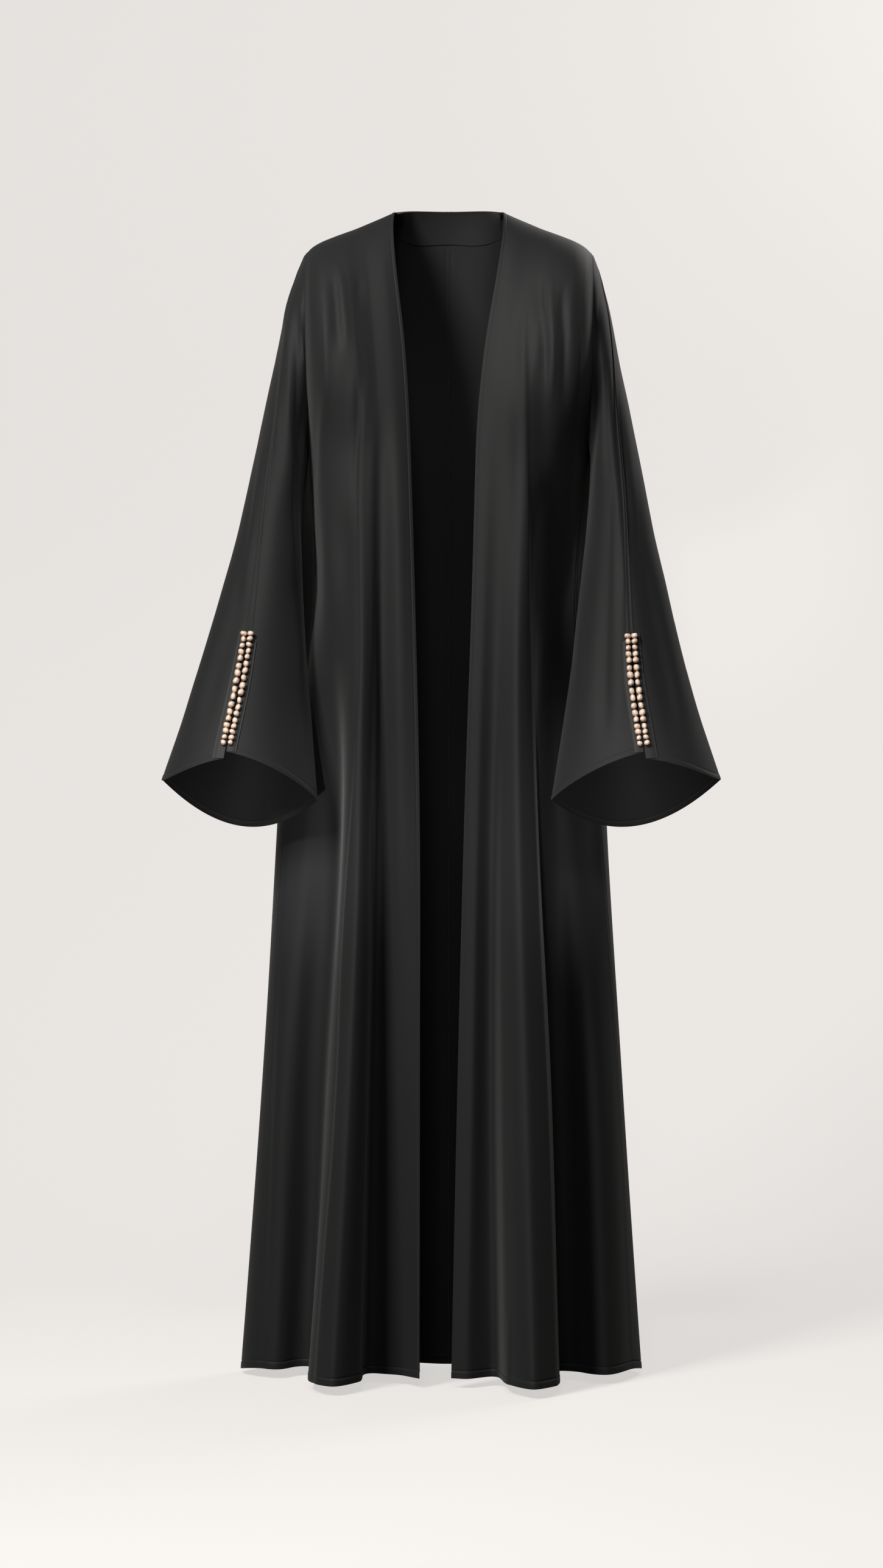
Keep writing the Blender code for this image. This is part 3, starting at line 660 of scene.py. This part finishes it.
# %% Shape a body panel
BAND = 0.0043  # the turned front edge
BAND_RISE, HEM_RISE = 0.0003, 0.0004
EDGE_ROLL, STITCH_DENT = 0.0009, 0.0007
IRON_ACROSS, IRON_DOWN = 10, 12  # rounds of smoothing
PANEL_MIDDLE = 0.03  # a line inside the cloak, which every panel faces away from
SEAM_FREE = 0.012  # distance from a seam over which a push dies away
SEAM_RISE, SEAM_WAY, SEAM_SOFT = 0.0005, 0.0030, 0.0014
UNDERARM_MEET = -0.316  # height at which sleeve and body touch below the armhole
UNDERARM_ABOVE, UNDERARM_BELOW = 0.038, 0.050
UNDERARM_PUSH = {"right": 0.0026, "left": 0.0022}
CREASES = {"front": FRONT_CREASES, "back": BACK_CREASES}


def turned_edge(distance, width, thickness):
    """Push of a turned and stitched edge: a raised band with a groove behind it."""
    band = thickness * (1 - ramp(distance, width * 0.8, width * 1.1))
    rolled = -0.5 * thickness * (1 - ramp(distance, 0.0, EDGE_ROLL))
    return band + rolled - 1.3 * thickness * bump(distance - width, STITCH_DENT)


def seam_line(distance):
    """Push of the seam allowance that lies under the cloth beside a seam."""
    return SEAM_RISE * bump(distance - SEAM_WAY, SEAM_SOFT)


def underarm_push(side, facing_share, height):
    """Sleeve and body lean on each other below the armhole, where they face each other."""
    offset = height - UNDERARM_MEET
    width = np.where(offset > 0, UNDERARM_ABOVE, UNDERARM_BELOW)
    return UNDERARM_PUSH[side] * facing_share * bump(offset, width)


def body_panel(side, part):
    places = panel_places(side, part)
    grid = panel_surface(side, part, places, LEVELS)
    held = ramp(LEVELS, 0.02, 0.2) * ramp(HEM_LEVEL - LEVELS, 0.06, 0.15)
    inside = np.ones(places.shape[1])
    inside[[0, -1]] = 0.0
    if part == "front":
        inside = inside * ramp(places[0], 1.0, 1.5)  # the open edge keeps its fine columns
    grid = soften(grid, IRON_ACROSS, 1, held[:, None] * inside[None, :])
    grid = soften(grid, IRON_DOWN, 0, held[:, None])
    middle = SIGN[side] * PANEL_MIDDLE
    centres = np.array([(middle, 0.0, height) for height in grid[..., 2].mean(axis=1)])
    out = out_of(grid, centres)
    first, last = run_length(grid, 1), length_left(grid, 1)
    to_side, to_middle = (last, first) if part == "front" else (first, last)
    seams = [to_side] if part == "front" else [to_side, to_middle]
    ends = seams + [run_length(grid, 0)]
    free = np.min([ramp(distance, 0.0, SEAM_FREE) for distance in ends], axis=0)
    push = crease_push(grid, CREASES[part][side]) * free
    push += turned_edge(length_left(grid, 0), HEM_DEPTH, HEM_RISE)
    if part == "front":
        push += turned_edge(to_middle, BAND, BAND_RISE)
    push += sum(seam_line(distance) for distance in seams)
    if part == "back":
        outward = np.maximum(0.0, out[..., 0] * SIGN[side])
        push += underarm_push(side, outward, grid[..., 2]) * ramp(to_side, 0.0, SEAM_FREE)
    return cloth_shell(f"{part}_{side}_cloth", grid + out * push[..., None], centres)


# %% Make the four body panels
pieces = {}
for side, part in HALVES:
    pieces[f"{part}_{side}"] = body_panel(side, part)
print("body panels:", list(pieces))

# %% [markdown]
# ## The sleeves
# Each sleeve is sewn from a front and a back half. Below the elbow the overarm seam is left
# open as a slit, whose edges stand a little apart, and its back edge hangs lower at the
# cuff. Beside the seam above it the cloth stands up in two fine lines, where the seam
# allowance lies under it.

# %% Shape a sleeve half
SLEEVE_ROWS, SLEEVE_COLUMNS = 64, 56
SLEEVE_LENGTH = 0.62
MEASURED_TURNS = np.linspace(0, 1, 61)
SEAM_STEPS = (0.0, 0.0007, 0.0015, 0.0023, 0.003, 0.0037, 0.0046, 0.006, 0.008, 0.011, 0.015)
CUFF_ROWS = (0.026, 0.018, 0.013, 0.010, 0.0085, 0.0076, 0.007, 0.0064, 0.0056, 0.004, 0.002,
             0.0008, 0.0)  # metres above the cuff's edge
CUFF_MARGIN = 1.4  # as the hem's
CUFF_HEM = 0.0070
FRONT_CUFF_SAG, FRONT_SAG_END = 0.0145, 0.55  # a cuff's hem runs straighter than its oval
BACK_CUFF_SAG = 0.0180
SLIT_INSET = 0.0009
SLEEVE_IRON = 8
SLEEVE_FREE = 0.010
SEAM_RIDGE, RIDGE_RISE, RIDGE_SOFT = 0.0030, 0.0007, 0.0011


def sleeve_shares():
    rows = np.arange(SLEEVE_ROWS) / SLEEVE_ROWS
    rows = rows[rows < 1 - CUFF_MARGIN * CUFF_ROWS[0] / SLEEVE_LENGTH]
    return np.concatenate((rows, 1 - np.array(CUFF_ROWS) / SLEEVE_LENGTH))


def sleeve_middle(side, shares):
    """Middle of a sleeve at shares of its length."""
    return sleeve_surface(side, np.linspace(0, 330, 12)[None, :], shares[:, None]).mean(axis=1)


def sleeve_grid(side, half, turn, share):
    overarm, underarm = sleeve_seams(side, share)
    if half == "front":
        degrees = overarm + (underarm - overarm) * turn
        lower = FRONT_CUFF_SAG * np.sin(math.pi * np.minimum(1.0, turn / FRONT_SAG_END))
    else:
        degrees = overarm + 360 - (overarm + 360 - underarm) * turn
        way = np.minimum(1.0, turn / STEP_REACH)
        lower = SLIT_STEP * (1 - way) + BACK_CUFF_SAG * np.sin(math.pi * way)
    share = share + lower * np.maximum(0.0, (share - STEP_START) / (1 - STEP_START))
    return sleeve_surface(side, degrees, share)


def sleeve_half(side, half):
    shares = sleeve_shares()
    measured = sleeve_grid(side, half, MEASURED_TURNS[None, :], shares[:, None])
    inset = SLIT_INSET * ramp(shares, SLIT_TOP - 0.004, SLIT_TOP + 0.012)[:, None]
    start = (np.array(SEAM_STEPS)[None, :] + inset) / run_length(measured, 1)[:, -1:]
    grid = sleeve_grid(side, half, then_even(start, SLEEVE_COLUMNS), shares[:, None])
    held = ramp(shares, 0.03, 0.1) * ramp(1 - shares, 0.05, 0.1)
    grid = soften(grid, SLEEVE_IRON, 0, held[:, None])
    middle = sleeve_middle(side, shares)
    out = out_of(grid, middle)
    from_seam, to_underarm, down = run_length(grid, 1), length_left(grid, 1), run_length(grid, 0)
    ends = (from_seam, to_underarm, down)
    free = np.min([ramp(distance, 0.0, SLEEVE_FREE) for distance in ends], axis=0)
    push = crease_push(grid, SLEEVE_CREASES[side]) * free * (grid[..., 1] < middle[:, 1:2])
    push += turned_edge(length_left(grid, 0), CUFF_HEM, HEM_RISE)
    push += RIDGE_RISE * bump(from_seam - SEAM_RIDGE, RIDGE_SOFT)
    push += seam_line(to_underarm) + seam_line(down)
    inward = np.maximum(0.0, -out[..., 0] * SIGN[side])
    push += underarm_push(side, inward, grid[..., 2])
    return cloth_shell(f"sleeve_{side}_{half}_cloth", grid + out * push[..., None], middle)


# %% Make the four sleeve halves
for side, half in HALVES:
    pieces[f"sleeve_{side}_{half}"] = sleeve_half(side, half)
print("pieces so far:", len(pieces))

# %% [markdown]
# ## The neck facing
# A shaped strip finishes the back neck from the inside. It is cut to the neck's own curve,
# so its grid is the back's, moved in by the wall and a small gap.

# %% Make the facing
FACING_LEVELS = np.linspace(0.003, 0.25, 22)
FACING_START, FACING_COLUMNS = 0.08, 30
FACING_DEPTH = WALL + 0.0005
FACING_WALL = 0.0008
FACING_MIDDLE = (0.0, -0.05, -0.05)


def facing_grid():
    place = np.linspace(NECK_PLACE + FACING_START, len(BACK_LINES), FACING_COLUMNS)
    places = np.tile(place, (len(FACING_LEVELS), 1))
    halves = [panel_surface(side, "back", places, FACING_LEVELS) for side in SIDES]
    return np.concatenate((halves[0], halves[1][:, -2::-1]), axis=1)


facing = facing_grid()
facing_centres = np.tile(FACING_MIDDLE, (len(FACING_LEVELS), 1))
facing = facing - out_of(facing, facing_centres) * FACING_DEPTH
pieces["neck_facing"] = cloth_shell("neck_facing_cloth", facing, facing_centres, FACING_WALL)

# %% [markdown]
# ## The strips on the slits
# Each edge of a slit carries a turned strip. It lies on the sleeve, so it is made from the
# sleeve's surface, moved out, with its own stitched edge.

# %% Make the strips
BAND_WIDTH = 0.0125
BAND_WALL = 0.0010
BAND_LIFT = 0.0005
BAND_ROWS = 46
BAND_FLARE = {"front": 0.0, "back": 0.28}  # the back strip stands out wider towards the cuff
BAND_COLUMNS = (0.0, 0.0008, 0.002, 0.004, 0.006, 0.008, 0.0098, 0.0106, 0.0114, 0.0121, 0.0125)
BAND_STITCH = 0.0108
BAND_SWELL, SWELL_SOFT, STITCH_SOFT = 0.0003, 0.004, 0.0006


def slit_surface(side, half, offset, share, height):
    """Points beside the slit's line, moved out by a height."""
    offset, share = np.broadcast_arrays(np.asarray(offset, float), np.asarray(share, float))
    overarm = sleeve_seams(side, share)[0]
    base = sleeve_surface(side, overarm, share)
    arc = np.linalg.norm(sleeve_surface(side, overarm + 1, share) - base, axis=-1)
    degrees = overarm + (offset if half == "front" else -offset) / arc
    around = sleeve_surface(side, degrees + 0.5, share) - sleeve_surface(side, degrees - 0.5, share)
    along = sleeve_surface(side, degrees, share + 0.005) - sleeve_surface(side, degrees, share - 0.005)
    out = np.cross(around, along) * SIGN[side]
    out /= np.linalg.norm(out, axis=-1, keepdims=True)
    return sleeve_surface(side, degrees, share) + out * np.asarray(height, float)[..., None]


def slit_strip(side, half):
    shares = np.linspace(SLIT_TOP, 1.0, BAND_ROWS)
    if half == "back":
        shares = shares + SLIT_STEP / (1 - STEP_START) * np.maximum(0.0, shares - STEP_START)
    from_edge = np.array(BAND_COLUMNS)[None, :]
    swell = bump(from_edge - BAND_WIDTH / 2, SWELL_SOFT) - bump(from_edge - BAND_STITCH, STITCH_SOFT)
    flare = 1 + BAND_FLARE[half] * np.linspace(0, 1, BAND_ROWS)[:, None]
    offsets = (SLIT_INSET + from_edge * (BAND_WIDTH - SLIT_INSET) / BAND_WIDTH) * flare
    height = BAND_LIFT + BAND_WALL + BAND_SWELL * swell
    grid = slit_surface(side, half, offsets, shares[:, None], height)
    middle = sleeve_middle(side, np.minimum(shares, 1.0))
    return cloth_shell(f"slit_strip_{side}_{half}", grid, middle, BAND_WALL)


for side, half in HALVES:
    pieces[f"slit_band_{side}_{half}"] = slit_strip(side, half)

# %% [markdown]
# ## The pearls
# The pearls are large and uneven, like river pearls. One is modelled from a round
# primitive: its two ends, where the thread goes in, are drawn together a little, and its
# middle is made lumpy. The others are copies with their own size and turn, set along the
# strip and joined, so that each row is one piece.

# %% Model one pearl
PEARL_RADIUS = 0.0036
PEARL_OFFSET = 0.0042  # from the slit's line
PEARL_END = 0.014  # share of the sleeve's length that stays free at the cuff
PEARL_COUNTS = {("right", "front"): 18, ("right", "back"): 17,
                ("left", "front"): 17, ("left", "back"): 17}
PEARL_SIZES = (1.0, 0.90, 1.08, 0.96, 1.03, 0.87, 1.10)
PEARL_START = {"front": -0.012, "back": -0.0045}  # the first pearl sits over the slit's upper end
PEARL_CROWD = 0.18  # the pearls stand closer at both ends of a row
TOP_PEARL = 1.18
TIP_START, TIP_SIZE = 0.75, (0.82, 0.82, 0.93)

bpy.ops.object.select_all(action="DESELECT")
bpy.ops.mesh.primitive_uv_sphere_add(segments=20, ring_count=14, radius=1.0)
pearl = bpy.context.object
pearl.name = "pearl_pattern"
bpy.ops.object.mode_set(mode="EDIT")
shape = bmesh.from_edit_mesh(pearl.data)
for vertex in shape.verts:
    vertex.select_set(abs(vertex.co.z) > TIP_START)
shape.select_flush(True)
bmesh.update_edit_mesh(pearl.data)
bpy.ops.transform.resize(value=TIP_SIZE)
bpy.ops.object.mode_set(mode="OBJECT")
print("pearl faces:", len(pearl.data.polygons))

# %% Make a row of pearls
LUMPS = ((2.1, 0.3, 1.4, 0.080), (-1.3, 2.4, 0.6, 0.065), (0.7, -1.8, 2.2, 0.060))
LUMP_TURN = 2.4  # from one pearl to the next, so that no two are alike
PEARL_LIFT = BAND_LIFT + BAND_WALL + 0.0003
AHEAD, ASIDE = 0.004, 0.001


def pearl_row(side, half, count):
    pattern = np.empty(len(pearl.data.vertices) * 3)
    pearl.data.vertices.foreach_get("co", pattern)
    pattern = pattern.reshape(-1, 3)
    start = SLIT_TOP + PEARL_START[half]
    run = 1 - PEARL_END - start
    copies = []
    for number in range(count):
        size = PEARL_SIZES[(number * 3 + len(side + half)) % len(PEARL_SIZES)]
        reach = PEARL_RADIUS * (TOP_PEARL if number == 0 else size)
        way = (number + 0.5) / count
        crowd = PEARL_CROWD * math.cos(2 * math.pi * way)
        share = start + run * (way - PEARL_CROWD * math.sin(2 * math.pi * way) / (2 * math.pi))
        lift = PEARL_LIFT + reach
        place = slit_surface(side, half, PEARL_OFFSET, share, lift)
        ahead = slit_surface(side, half, PEARL_OFFSET, share + AHEAD, lift)
        beside = slit_surface(side, half, PEARL_OFFSET + ASIDE, share, lift)
        length = np.linalg.norm(ahead - place) / AHEAD * run * (1 - crowd) / count
        down = (ahead - place) / np.linalg.norm(ahead - place)
        out = np.cross(down, beside - place)
        out /= np.linalg.norm(out)
        axes = np.stack((np.cross(out, down), out, down))
        waves = [depth * np.sin(pattern @ (a, b, c) + number * LUMP_TURN) for a, b, c, depth in LUMPS]
        points = pattern * (1 + sum(waves))[:, None] * (reach, reach, length * 0.5)
        copy = pearl.copy()
        copy.data = pearl.data.copy()
        copy.data.vertices.foreach_set("co", (points @ axes + place).ravel())
        # how near a point lies to the pearl's ends, where the pearl material lays painted shade
        joint = copy.data.attributes.new("joint", "FLOAT", "POINT")
        joint.data.foreach_set("value", np.abs(pattern[:, 2]).astype(np.float32))
        bpy.context.scene.collection.objects.link(copy)
        copies.append(copy)
    bpy.ops.object.select_all(action="DESELECT")
    for copy in copies:
        copy.select_set(True)
    bpy.context.view_layer.objects.active = copies[0]
    bpy.ops.object.join()
    row = bpy.context.object
    row.name = f"pearls_{side}_{half}"
    bpy.ops.object.mode_set(mode="EDIT")
    bpy.ops.mesh.select_all(action="SELECT")
    bpy.ops.mesh.normals_make_consistent(inside=False)
    bpy.ops.object.mode_set(mode="OBJECT")
    row.data.shade_smooth()
    print(row.name, "pearls:", count, "faces:", len(row.data.polygons))
    return row


for (side, half), count in PEARL_COUNTS.items():
    pieces[f"pearl_row_{side}_{half}"] = pearl_row(side, half, count)
bpy.data.objects.remove(pearl)

# %% [markdown]
# ## Shared effects
# Two effects come back in several materials: the pebbled grain of crepe and a row of
# stitches. Each is a node group, built once. They read the UV map in metres, so they
# follow the cloth down its folds.


# %% Helpers for node trees
def add_node(tree, kind, inputs=None, **settings):
    """A node with its settings, and its inputs linked or set by name or number."""
    node = tree.nodes.new(kind)
    for name, value in settings.items():
        setattr(node, name, value)
    set_inputs(tree, node, inputs or {})
    return node


def set_inputs(tree, node, inputs):
    for name, value in inputs.items():
        if isinstance(value, bpy.types.NodeSocket):
            tree.links.new(value, node.inputs[name])
        else:
            node.inputs[name].default_value = value


def maths(tree, operation, first, second=0.0, third=0.0):
    inputs = {0: first, 1: second, 2: third}
    return add_node(tree, "ShaderNodeMath", inputs, operation=operation).outputs[0]


def noise(tree, vector, scale, detail, roughness=0.5):
    inputs = {"Vector": vector, "Scale": scale, "Detail": detail, "Roughness": roughness}
    return add_node(tree, "ShaderNodeTexNoise", inputs).outputs["Fac"]


def soft_range(tree, value, start, end, low=0.0, high=1.0):
    """low before start, high after end, smooth between."""
    inputs = {"Value": value, "From Min": start, "From Max": end, "To Min": low, "To Max": high}
    return add_node(tree, "ShaderNodeMapRange", inputs, interpolation_type="SMOOTHSTEP").outputs[0]


def mix_colour(tree, factor, first, second):
    inputs = {"Factor": factor, 6: first, 7: second}
    return add_node(tree, "ShaderNodeMix", inputs, data_type="RGBA").outputs[2]


def new_group(name, inputs, outputs):
    """A node group; inputs and outputs say the kind of each socket by its name."""
    group = bpy.data.node_groups.new(name, "ShaderNodeTree")
    for way, sockets in (("INPUT", inputs), ("OUTPUT", outputs)):
        for socket, kind in sockets.items():
            group.interface.new_socket(socket, in_out=way, socket_type="NodeSocket" + kind)
    return group, group.nodes.new("NodeGroupInput"), group.nodes.new("NodeGroupOutput")


def new_material(name):
    """A material, its node tree and its shader."""
    material = bpy.data.materials.new(name)
    material.use_nodes = True
    return material, material.node_tree, material.node_tree.nodes["Principled BSDF"]


# %% Crepe grain
YARNS = (2600.0, 320.0, 1.0)  # waves in a metre: across, along


def crepe_grain_group():
    """Height of the twisted yarns, and a slow change in depth of colour."""
    group, given, result = new_group(
        "crepe_grain", {"Metres": "Vector", "Pebble": "Float"}, {"Height": "Float", "Cloud": "Float"})
    metres = given.outputs["Metres"]
    pebble = noise(group, metres, given.outputs["Pebble"], 3.0, 0.6)
    yarn = add_node(group, "ShaderNodeMapping", {"Vector": metres, "Scale": YARNS})
    streak = noise(group, yarn.outputs["Vector"], 1.0, 1.0)
    height = maths(group, "MULTIPLY_ADD", pebble, 0.6, maths(group, "MULTIPLY", streak, 0.4))
    set_inputs(group, result, {"Height": height, "Cloud": noise(group, metres, 7.0, 2.0)})
    return group


crepe_grain = crepe_grain_group()


# %% A row of stitches
def stitch_row_group():
    """Mask of a sewn line: Across is the distance to it, Along the way along it."""
    group, given, result = new_group(
        "stitch_row", {"Across": "Float", "Along": "Float", "Pitch": "Float"},
        {"Thread": "Float", "Dent": "Float"})
    beside = maths(group, "ABSOLUTE", given.outputs["Across"])
    near = soft_range(group, beside, 0.0001, 0.0004, 1.0, 0.0)
    wave = maths(group, "FRACT", maths(group, "DIVIDE", given.outputs["Along"], given.outputs["Pitch"]))
    from_middle = maths(group, "ABSOLUTE", maths(group, "SUBTRACT", wave, 0.5))
    dash = soft_range(group, from_middle, 0.32, 0.42, 1.0, 0.0)
    set_inputs(group, result, {
        "Thread": maths(group, "MULTIPLY", near, dash),
        "Dent": soft_range(group, beside, 0.0, 0.0012, 1.0, 0.0)})
    return group


stitch_row = stitch_row_group()
print("node groups:", [group.name for group in bpy.data.node_groups])

# %% [markdown]
# ## The cloth's materials
# Black crepe drinks most of the light. What is seen is a soft sheen where the cloth turns
# away, so the colour is very dark, the roughness high and the sheen does the rest. The hem
# and the open edge each have their stitches; a distance below zero leaves a row out.

# %% Crepe and pressed strips
PEBBLE = 1500.0
STITCH = 0.0026  # length of a stitch and its gap
STITCH_INSET = 0.001  # from the inner edge of a hem
NO_ROW = -1.0
THREAD = (0.034, 0.034, 0.036, 1)
CREPE = ((0.011, 0.011, 0.0115, 1), (0.015, 0.015, 0.0155, 1), 0.72, 0.12)
PRESSED = ((0.014, 0.014, 0.0145, 1), (0.018, 0.018, 0.0185, 1), 0.62, 0.14)
CLOTHS = {  # the look, then how far from the hem and from the edge a row is sewn
    "crepe_front": (CREPE, HEM_DEPTH - STITCH_INSET, BAND),
    "crepe_back": (CREPE, HEM_DEPTH - STITCH_INSET, NO_ROW),
    "crepe_sleeve": (CREPE, CUFF_HEM - STITCH_INSET, NO_ROW),
    "pressed_crepe": (PRESSED, NO_ROW, BAND_STITCH),
}


def cloth_material(name, look, hem, edge):
    dark, light, roughness, sheen = look
    material, tree, shader = new_material(name)
    metres = add_node(tree, "ShaderNodeUVMap", uv_map="metres").outputs[0]
    x, y = add_node(tree, "ShaderNodeSeparateXYZ", {0: metres}).outputs[:2]
    grain = add_node(tree, "ShaderNodeGroup", node_tree=crepe_grain)
    set_inputs(tree, grain, {"Metres": metres, "Pebble": PEBBLE})
    sewn = []
    for across, along, place in ((y, x, hem), (x, y, edge)):
        row = add_node(tree, "ShaderNodeGroup", node_tree=stitch_row)
        offset = maths(tree, "SUBTRACT", across, place)
        set_inputs(tree, row, {"Across": offset, "Along": along, "Pitch": STITCH})
        sewn.append(row.outputs)
    thread = maths(tree, "MAXIMUM", sewn[0]["Thread"], sewn[1]["Thread"])
    dent = maths(tree, "MAXIMUM", sewn[0]["Dent"], sewn[1]["Dent"])
    cloth = mix_colour(tree, grain.outputs["Cloud"], dark, light)
    dented = maths(tree, "MULTIPLY_ADD", dent, -1.0, grain.outputs["Height"])
    height = maths(tree, "MULTIPLY_ADD", thread, 1.2, dented)
    relief = add_node(tree, "ShaderNodeBump", {"Height": height, "Strength": 0.35, "Distance": 0.0003})
    set_inputs(tree, shader, {
        "Base Color": mix_colour(tree, maths(tree, "MULTIPLY", thread, 0.6), cloth, THREAD),
        "Normal": relief.outputs["Normal"], "Roughness": roughness, "Sheen Weight": sheen,
        "Sheen Roughness": 0.45, "Specular IOR Level": 0.35})
    return material


cloths = {name: cloth_material(name, *values) for name, values in CLOTHS.items()}

# %% [markdown]
# ## The pearls' material
# Pearls are creamy white, with a soft shine, and a slow noise makes them differ. A warm
# brown is painted shade: it darkens them where two meet, following the attribute that each
# pearl carries, and where they turn away from the camera.

# %% Pearl
# the last colour is painted shade, laid where pearls meet and where they turn away
IVORY, CREAM, WARM_SHADE = (0.86, 0.70, 0.56, 1), (0.96, 0.87, 0.76, 1), (0.70, 0.38, 0.23, 1)


def pearl_material():
    material, tree, shader = new_material("river_pearl")
    joint = add_node(tree, "ShaderNodeAttribute", attribute_name="joint").outputs["Fac"]
    turned = add_node(tree, "ShaderNodeLayerWeight", {"Blend": 0.35}).outputs["Facing"]
    place = add_node(tree, "ShaderNodeTexCoord").outputs["Object"]
    body = mix_colour(tree, noise(tree, place, 260.0, 2.0), IVORY, CREAM)
    # painted shade: warm brown near each pearl's ends, where it meets the next, and where its surface
    # turns from the camera
    painted_shade = maths(tree, "MAXIMUM", soft_range(tree, joint, 0.35, 0.95), turned)
    set_inputs(tree, shader, {
        "Base Color": mix_colour(tree, painted_shade, body, WARM_SHADE),
        "Roughness": 0.28, "Coat Weight": 0.5, "Coat Roughness": 0.12})
    return material


FINISHES = {  # by the first word of a piece's name
    "front": (cloths["crepe_front"], "black_crepe"),
    "back": (cloths["crepe_back"], "black_crepe"),
    "sleeve": (cloths["crepe_sleeve"], "black_crepe"),
    "neck": (cloths["pressed_crepe"], "black_binding"),
    "slit": (cloths["pressed_crepe"], "black_binding"),
    "pearl": (pearl_material(), "pearl"),
}
for node, piece in pieces.items():
    material, slot = FINISHES[node.split("_")[0]]
    piece.data.materials.clear()
    piece.data.materials.append(material)
    print(node, "has", material.name)

# %% [markdown]
# ## The studio
# A pale paper sweep runs under and behind the cloak. Black cloth in a pale room would go
# grey all over, so the paper glows for the camera alone. A soft lamp at the upper left in
# front draws the folds, one in the middle reaches into the neck, and a weak one at the right
# keeps the shadows open. A lamp behind serves the back, and two narrow spots low in front
# look into the cuffs. The paper can be looked through from behind, to see the back.

# %% Backdrop
FLOOR = -1.4795
PAPER_GLOW = 0.62
PAPER_LIT, PAPER_SEEN = (0.12, 0.115, 0.11, 1), (0.34, 0.328, 0.316, 1)
SWEEP_HALF = 7.0
SWEEP_ROUND = 1.4  # radius of the bend up to the wall
SWEEP_BEND = 1.2  # where the bend starts, behind the cloak
bpy.ops.object.select_all(action="DESELECT")
bpy.ops.mesh.primitive_grid_add(x_subdivisions=2, y_subdivisions=60, size=2.0)
sweep = bpy.context.object
sweep.name = "paper_sweep"
for vertex in sweep.data.vertices:
    y, z = vertex.co.y * SWEEP_HALF, FLOOR
    past = y - SWEEP_BEND
    if past > 0:
        turn = min(past / SWEEP_ROUND, math.pi / 2)
        y = SWEEP_BEND + SWEEP_ROUND * math.sin(turn)
        z = FLOOR + SWEEP_ROUND * (1 - math.cos(turn)) + max(0.0, past - SWEEP_ROUND * math.pi / 2)
    vertex.co = (vertex.co.x * SWEEP_HALF, y, z)
sweep.data.shade_smooth()
paper, tree, shader = new_material("pale_paper")
to_camera = add_node(tree, "ShaderNodeLightPath").outputs["Is Camera Ray"]
set_inputs(tree, shader, {
    "Base Color": mix_colour(tree, to_camera, PAPER_LIT, PAPER_SEEN),
    "Roughness": 0.9, "Specular IOR Level": 0.1, "Emission Color": (1.0, 0.972, 0.95, 1),
    "Emission Strength": maths(tree, "MULTIPLY", to_camera, PAPER_GLOW)})
behind = add_node(tree, "ShaderNodeNewGeometry").outputs["Backfacing"]
clear = add_node(tree, "ShaderNodeBsdfTransparent")
paper_or_clear = add_node(tree, "ShaderNodeMixShader", {
    0: maths(tree, "MULTIPLY", behind, to_camera), 1: shader.outputs[0], 2: clear.outputs[0]})
tree.links.new(paper_or_clear.outputs[0], tree.nodes["Material Output"].inputs["Surface"])
sweep.data.materials.append(paper)

# %% Lights
SURROUND = 0.009
LAMPS = {  # place, target, size, watts, colour
    "key_lamp": ((-1.55, -2.5, 1.3), (0.0, 0.0, -0.5), 0.8, 112.0, (1.0, 0.98, 0.95)),
    "neck_lamp": ((-0.12, -2.9, 1.9), (0.0, 0.1, -0.25), 0.5, 25.0, (1.0, 0.98, 0.96)),
    "fill_lamp": ((2.2, -3.6, 0.4), (0.0, 0.0, -0.6), 2.0, 2.0, (1.0, 0.97, 0.94)),
    "rear_lamp": ((1.6, 2.0, 1.2), (0.0, 0.1, -0.5), 1.0, 30.0, (1.0, 0.98, 0.96)),
}
SPOTS = {"cuff_spot_right": -0.235, "cuff_spot_left": 0.225}  # middle of the cuff, across
SPOT_AWAY, SPOT_DEPTH, SPOT_HEIGHT, CUFF_DEPTH, CUFF_HEIGHT = 0.25, -2.6, -1.3, -0.05, -0.78755
SPOT_WATTS, SPOT_ANGLE, SPOT_SIZE = 125.0, math.radians(9), 0.05

world = bpy.data.worlds.new("pale_surround")
bpy.context.scene.world = world
world.use_nodes = True
set_inputs(world.node_tree, world.node_tree.nodes["Background"], {
    "Color": (1.0, 0.985, 0.97, 1), "Strength": SURROUND})


def hang_light(light, place, target):
    holder = bpy.data.objects.new(light.name, light)
    holder.location = place
    aim = np.array(target) - np.array(place)
    yaw = math.atan2(-aim[0], aim[1])
    tilt = math.atan2(aim[2], math.hypot(aim[0], aim[1]))
    holder.rotation_euler = (math.pi / 2 + tilt, 0, yaw)
    bpy.context.scene.collection.objects.link(holder)


for name, (place, target, size, watts, colour) in LAMPS.items():
    lamp = bpy.data.lights.new(name, "AREA")
    lamp.size, lamp.energy, lamp.color = size, watts, colour
    hang_light(lamp, place, target)
for name, across in SPOTS.items():
    spot = bpy.data.lights.new(name, "SPOT")
    spot.energy, spot.spot_size, spot.spot_blend = SPOT_WATTS, SPOT_ANGLE, 1.0
    spot.shadow_soft_size = SPOT_SIZE
    place = (across - SPOT_AWAY, SPOT_DEPTH, SPOT_HEIGHT)
    hang_light(spot, place, (across, CUFF_DEPTH, CUFF_HEIGHT))
bpy.context.scene.view_settings.view_transform = "Standard"

# %% [markdown]
# ## What each piece is
# Last, every piece is tied to the body that it belongs to, and the solid that it stands for
# is hidden. The cloak is one body, since cloth has no joints.

# %% Tie the pieces to the solids
for node, piece in pieces.items():
    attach(piece, "root")
    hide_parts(node)
for node, piece in pieces.items():
    if node.startswith("pearl"):
        continue
print("sheets:", len([node for node in pieces if not node.startswith("pearl")]))
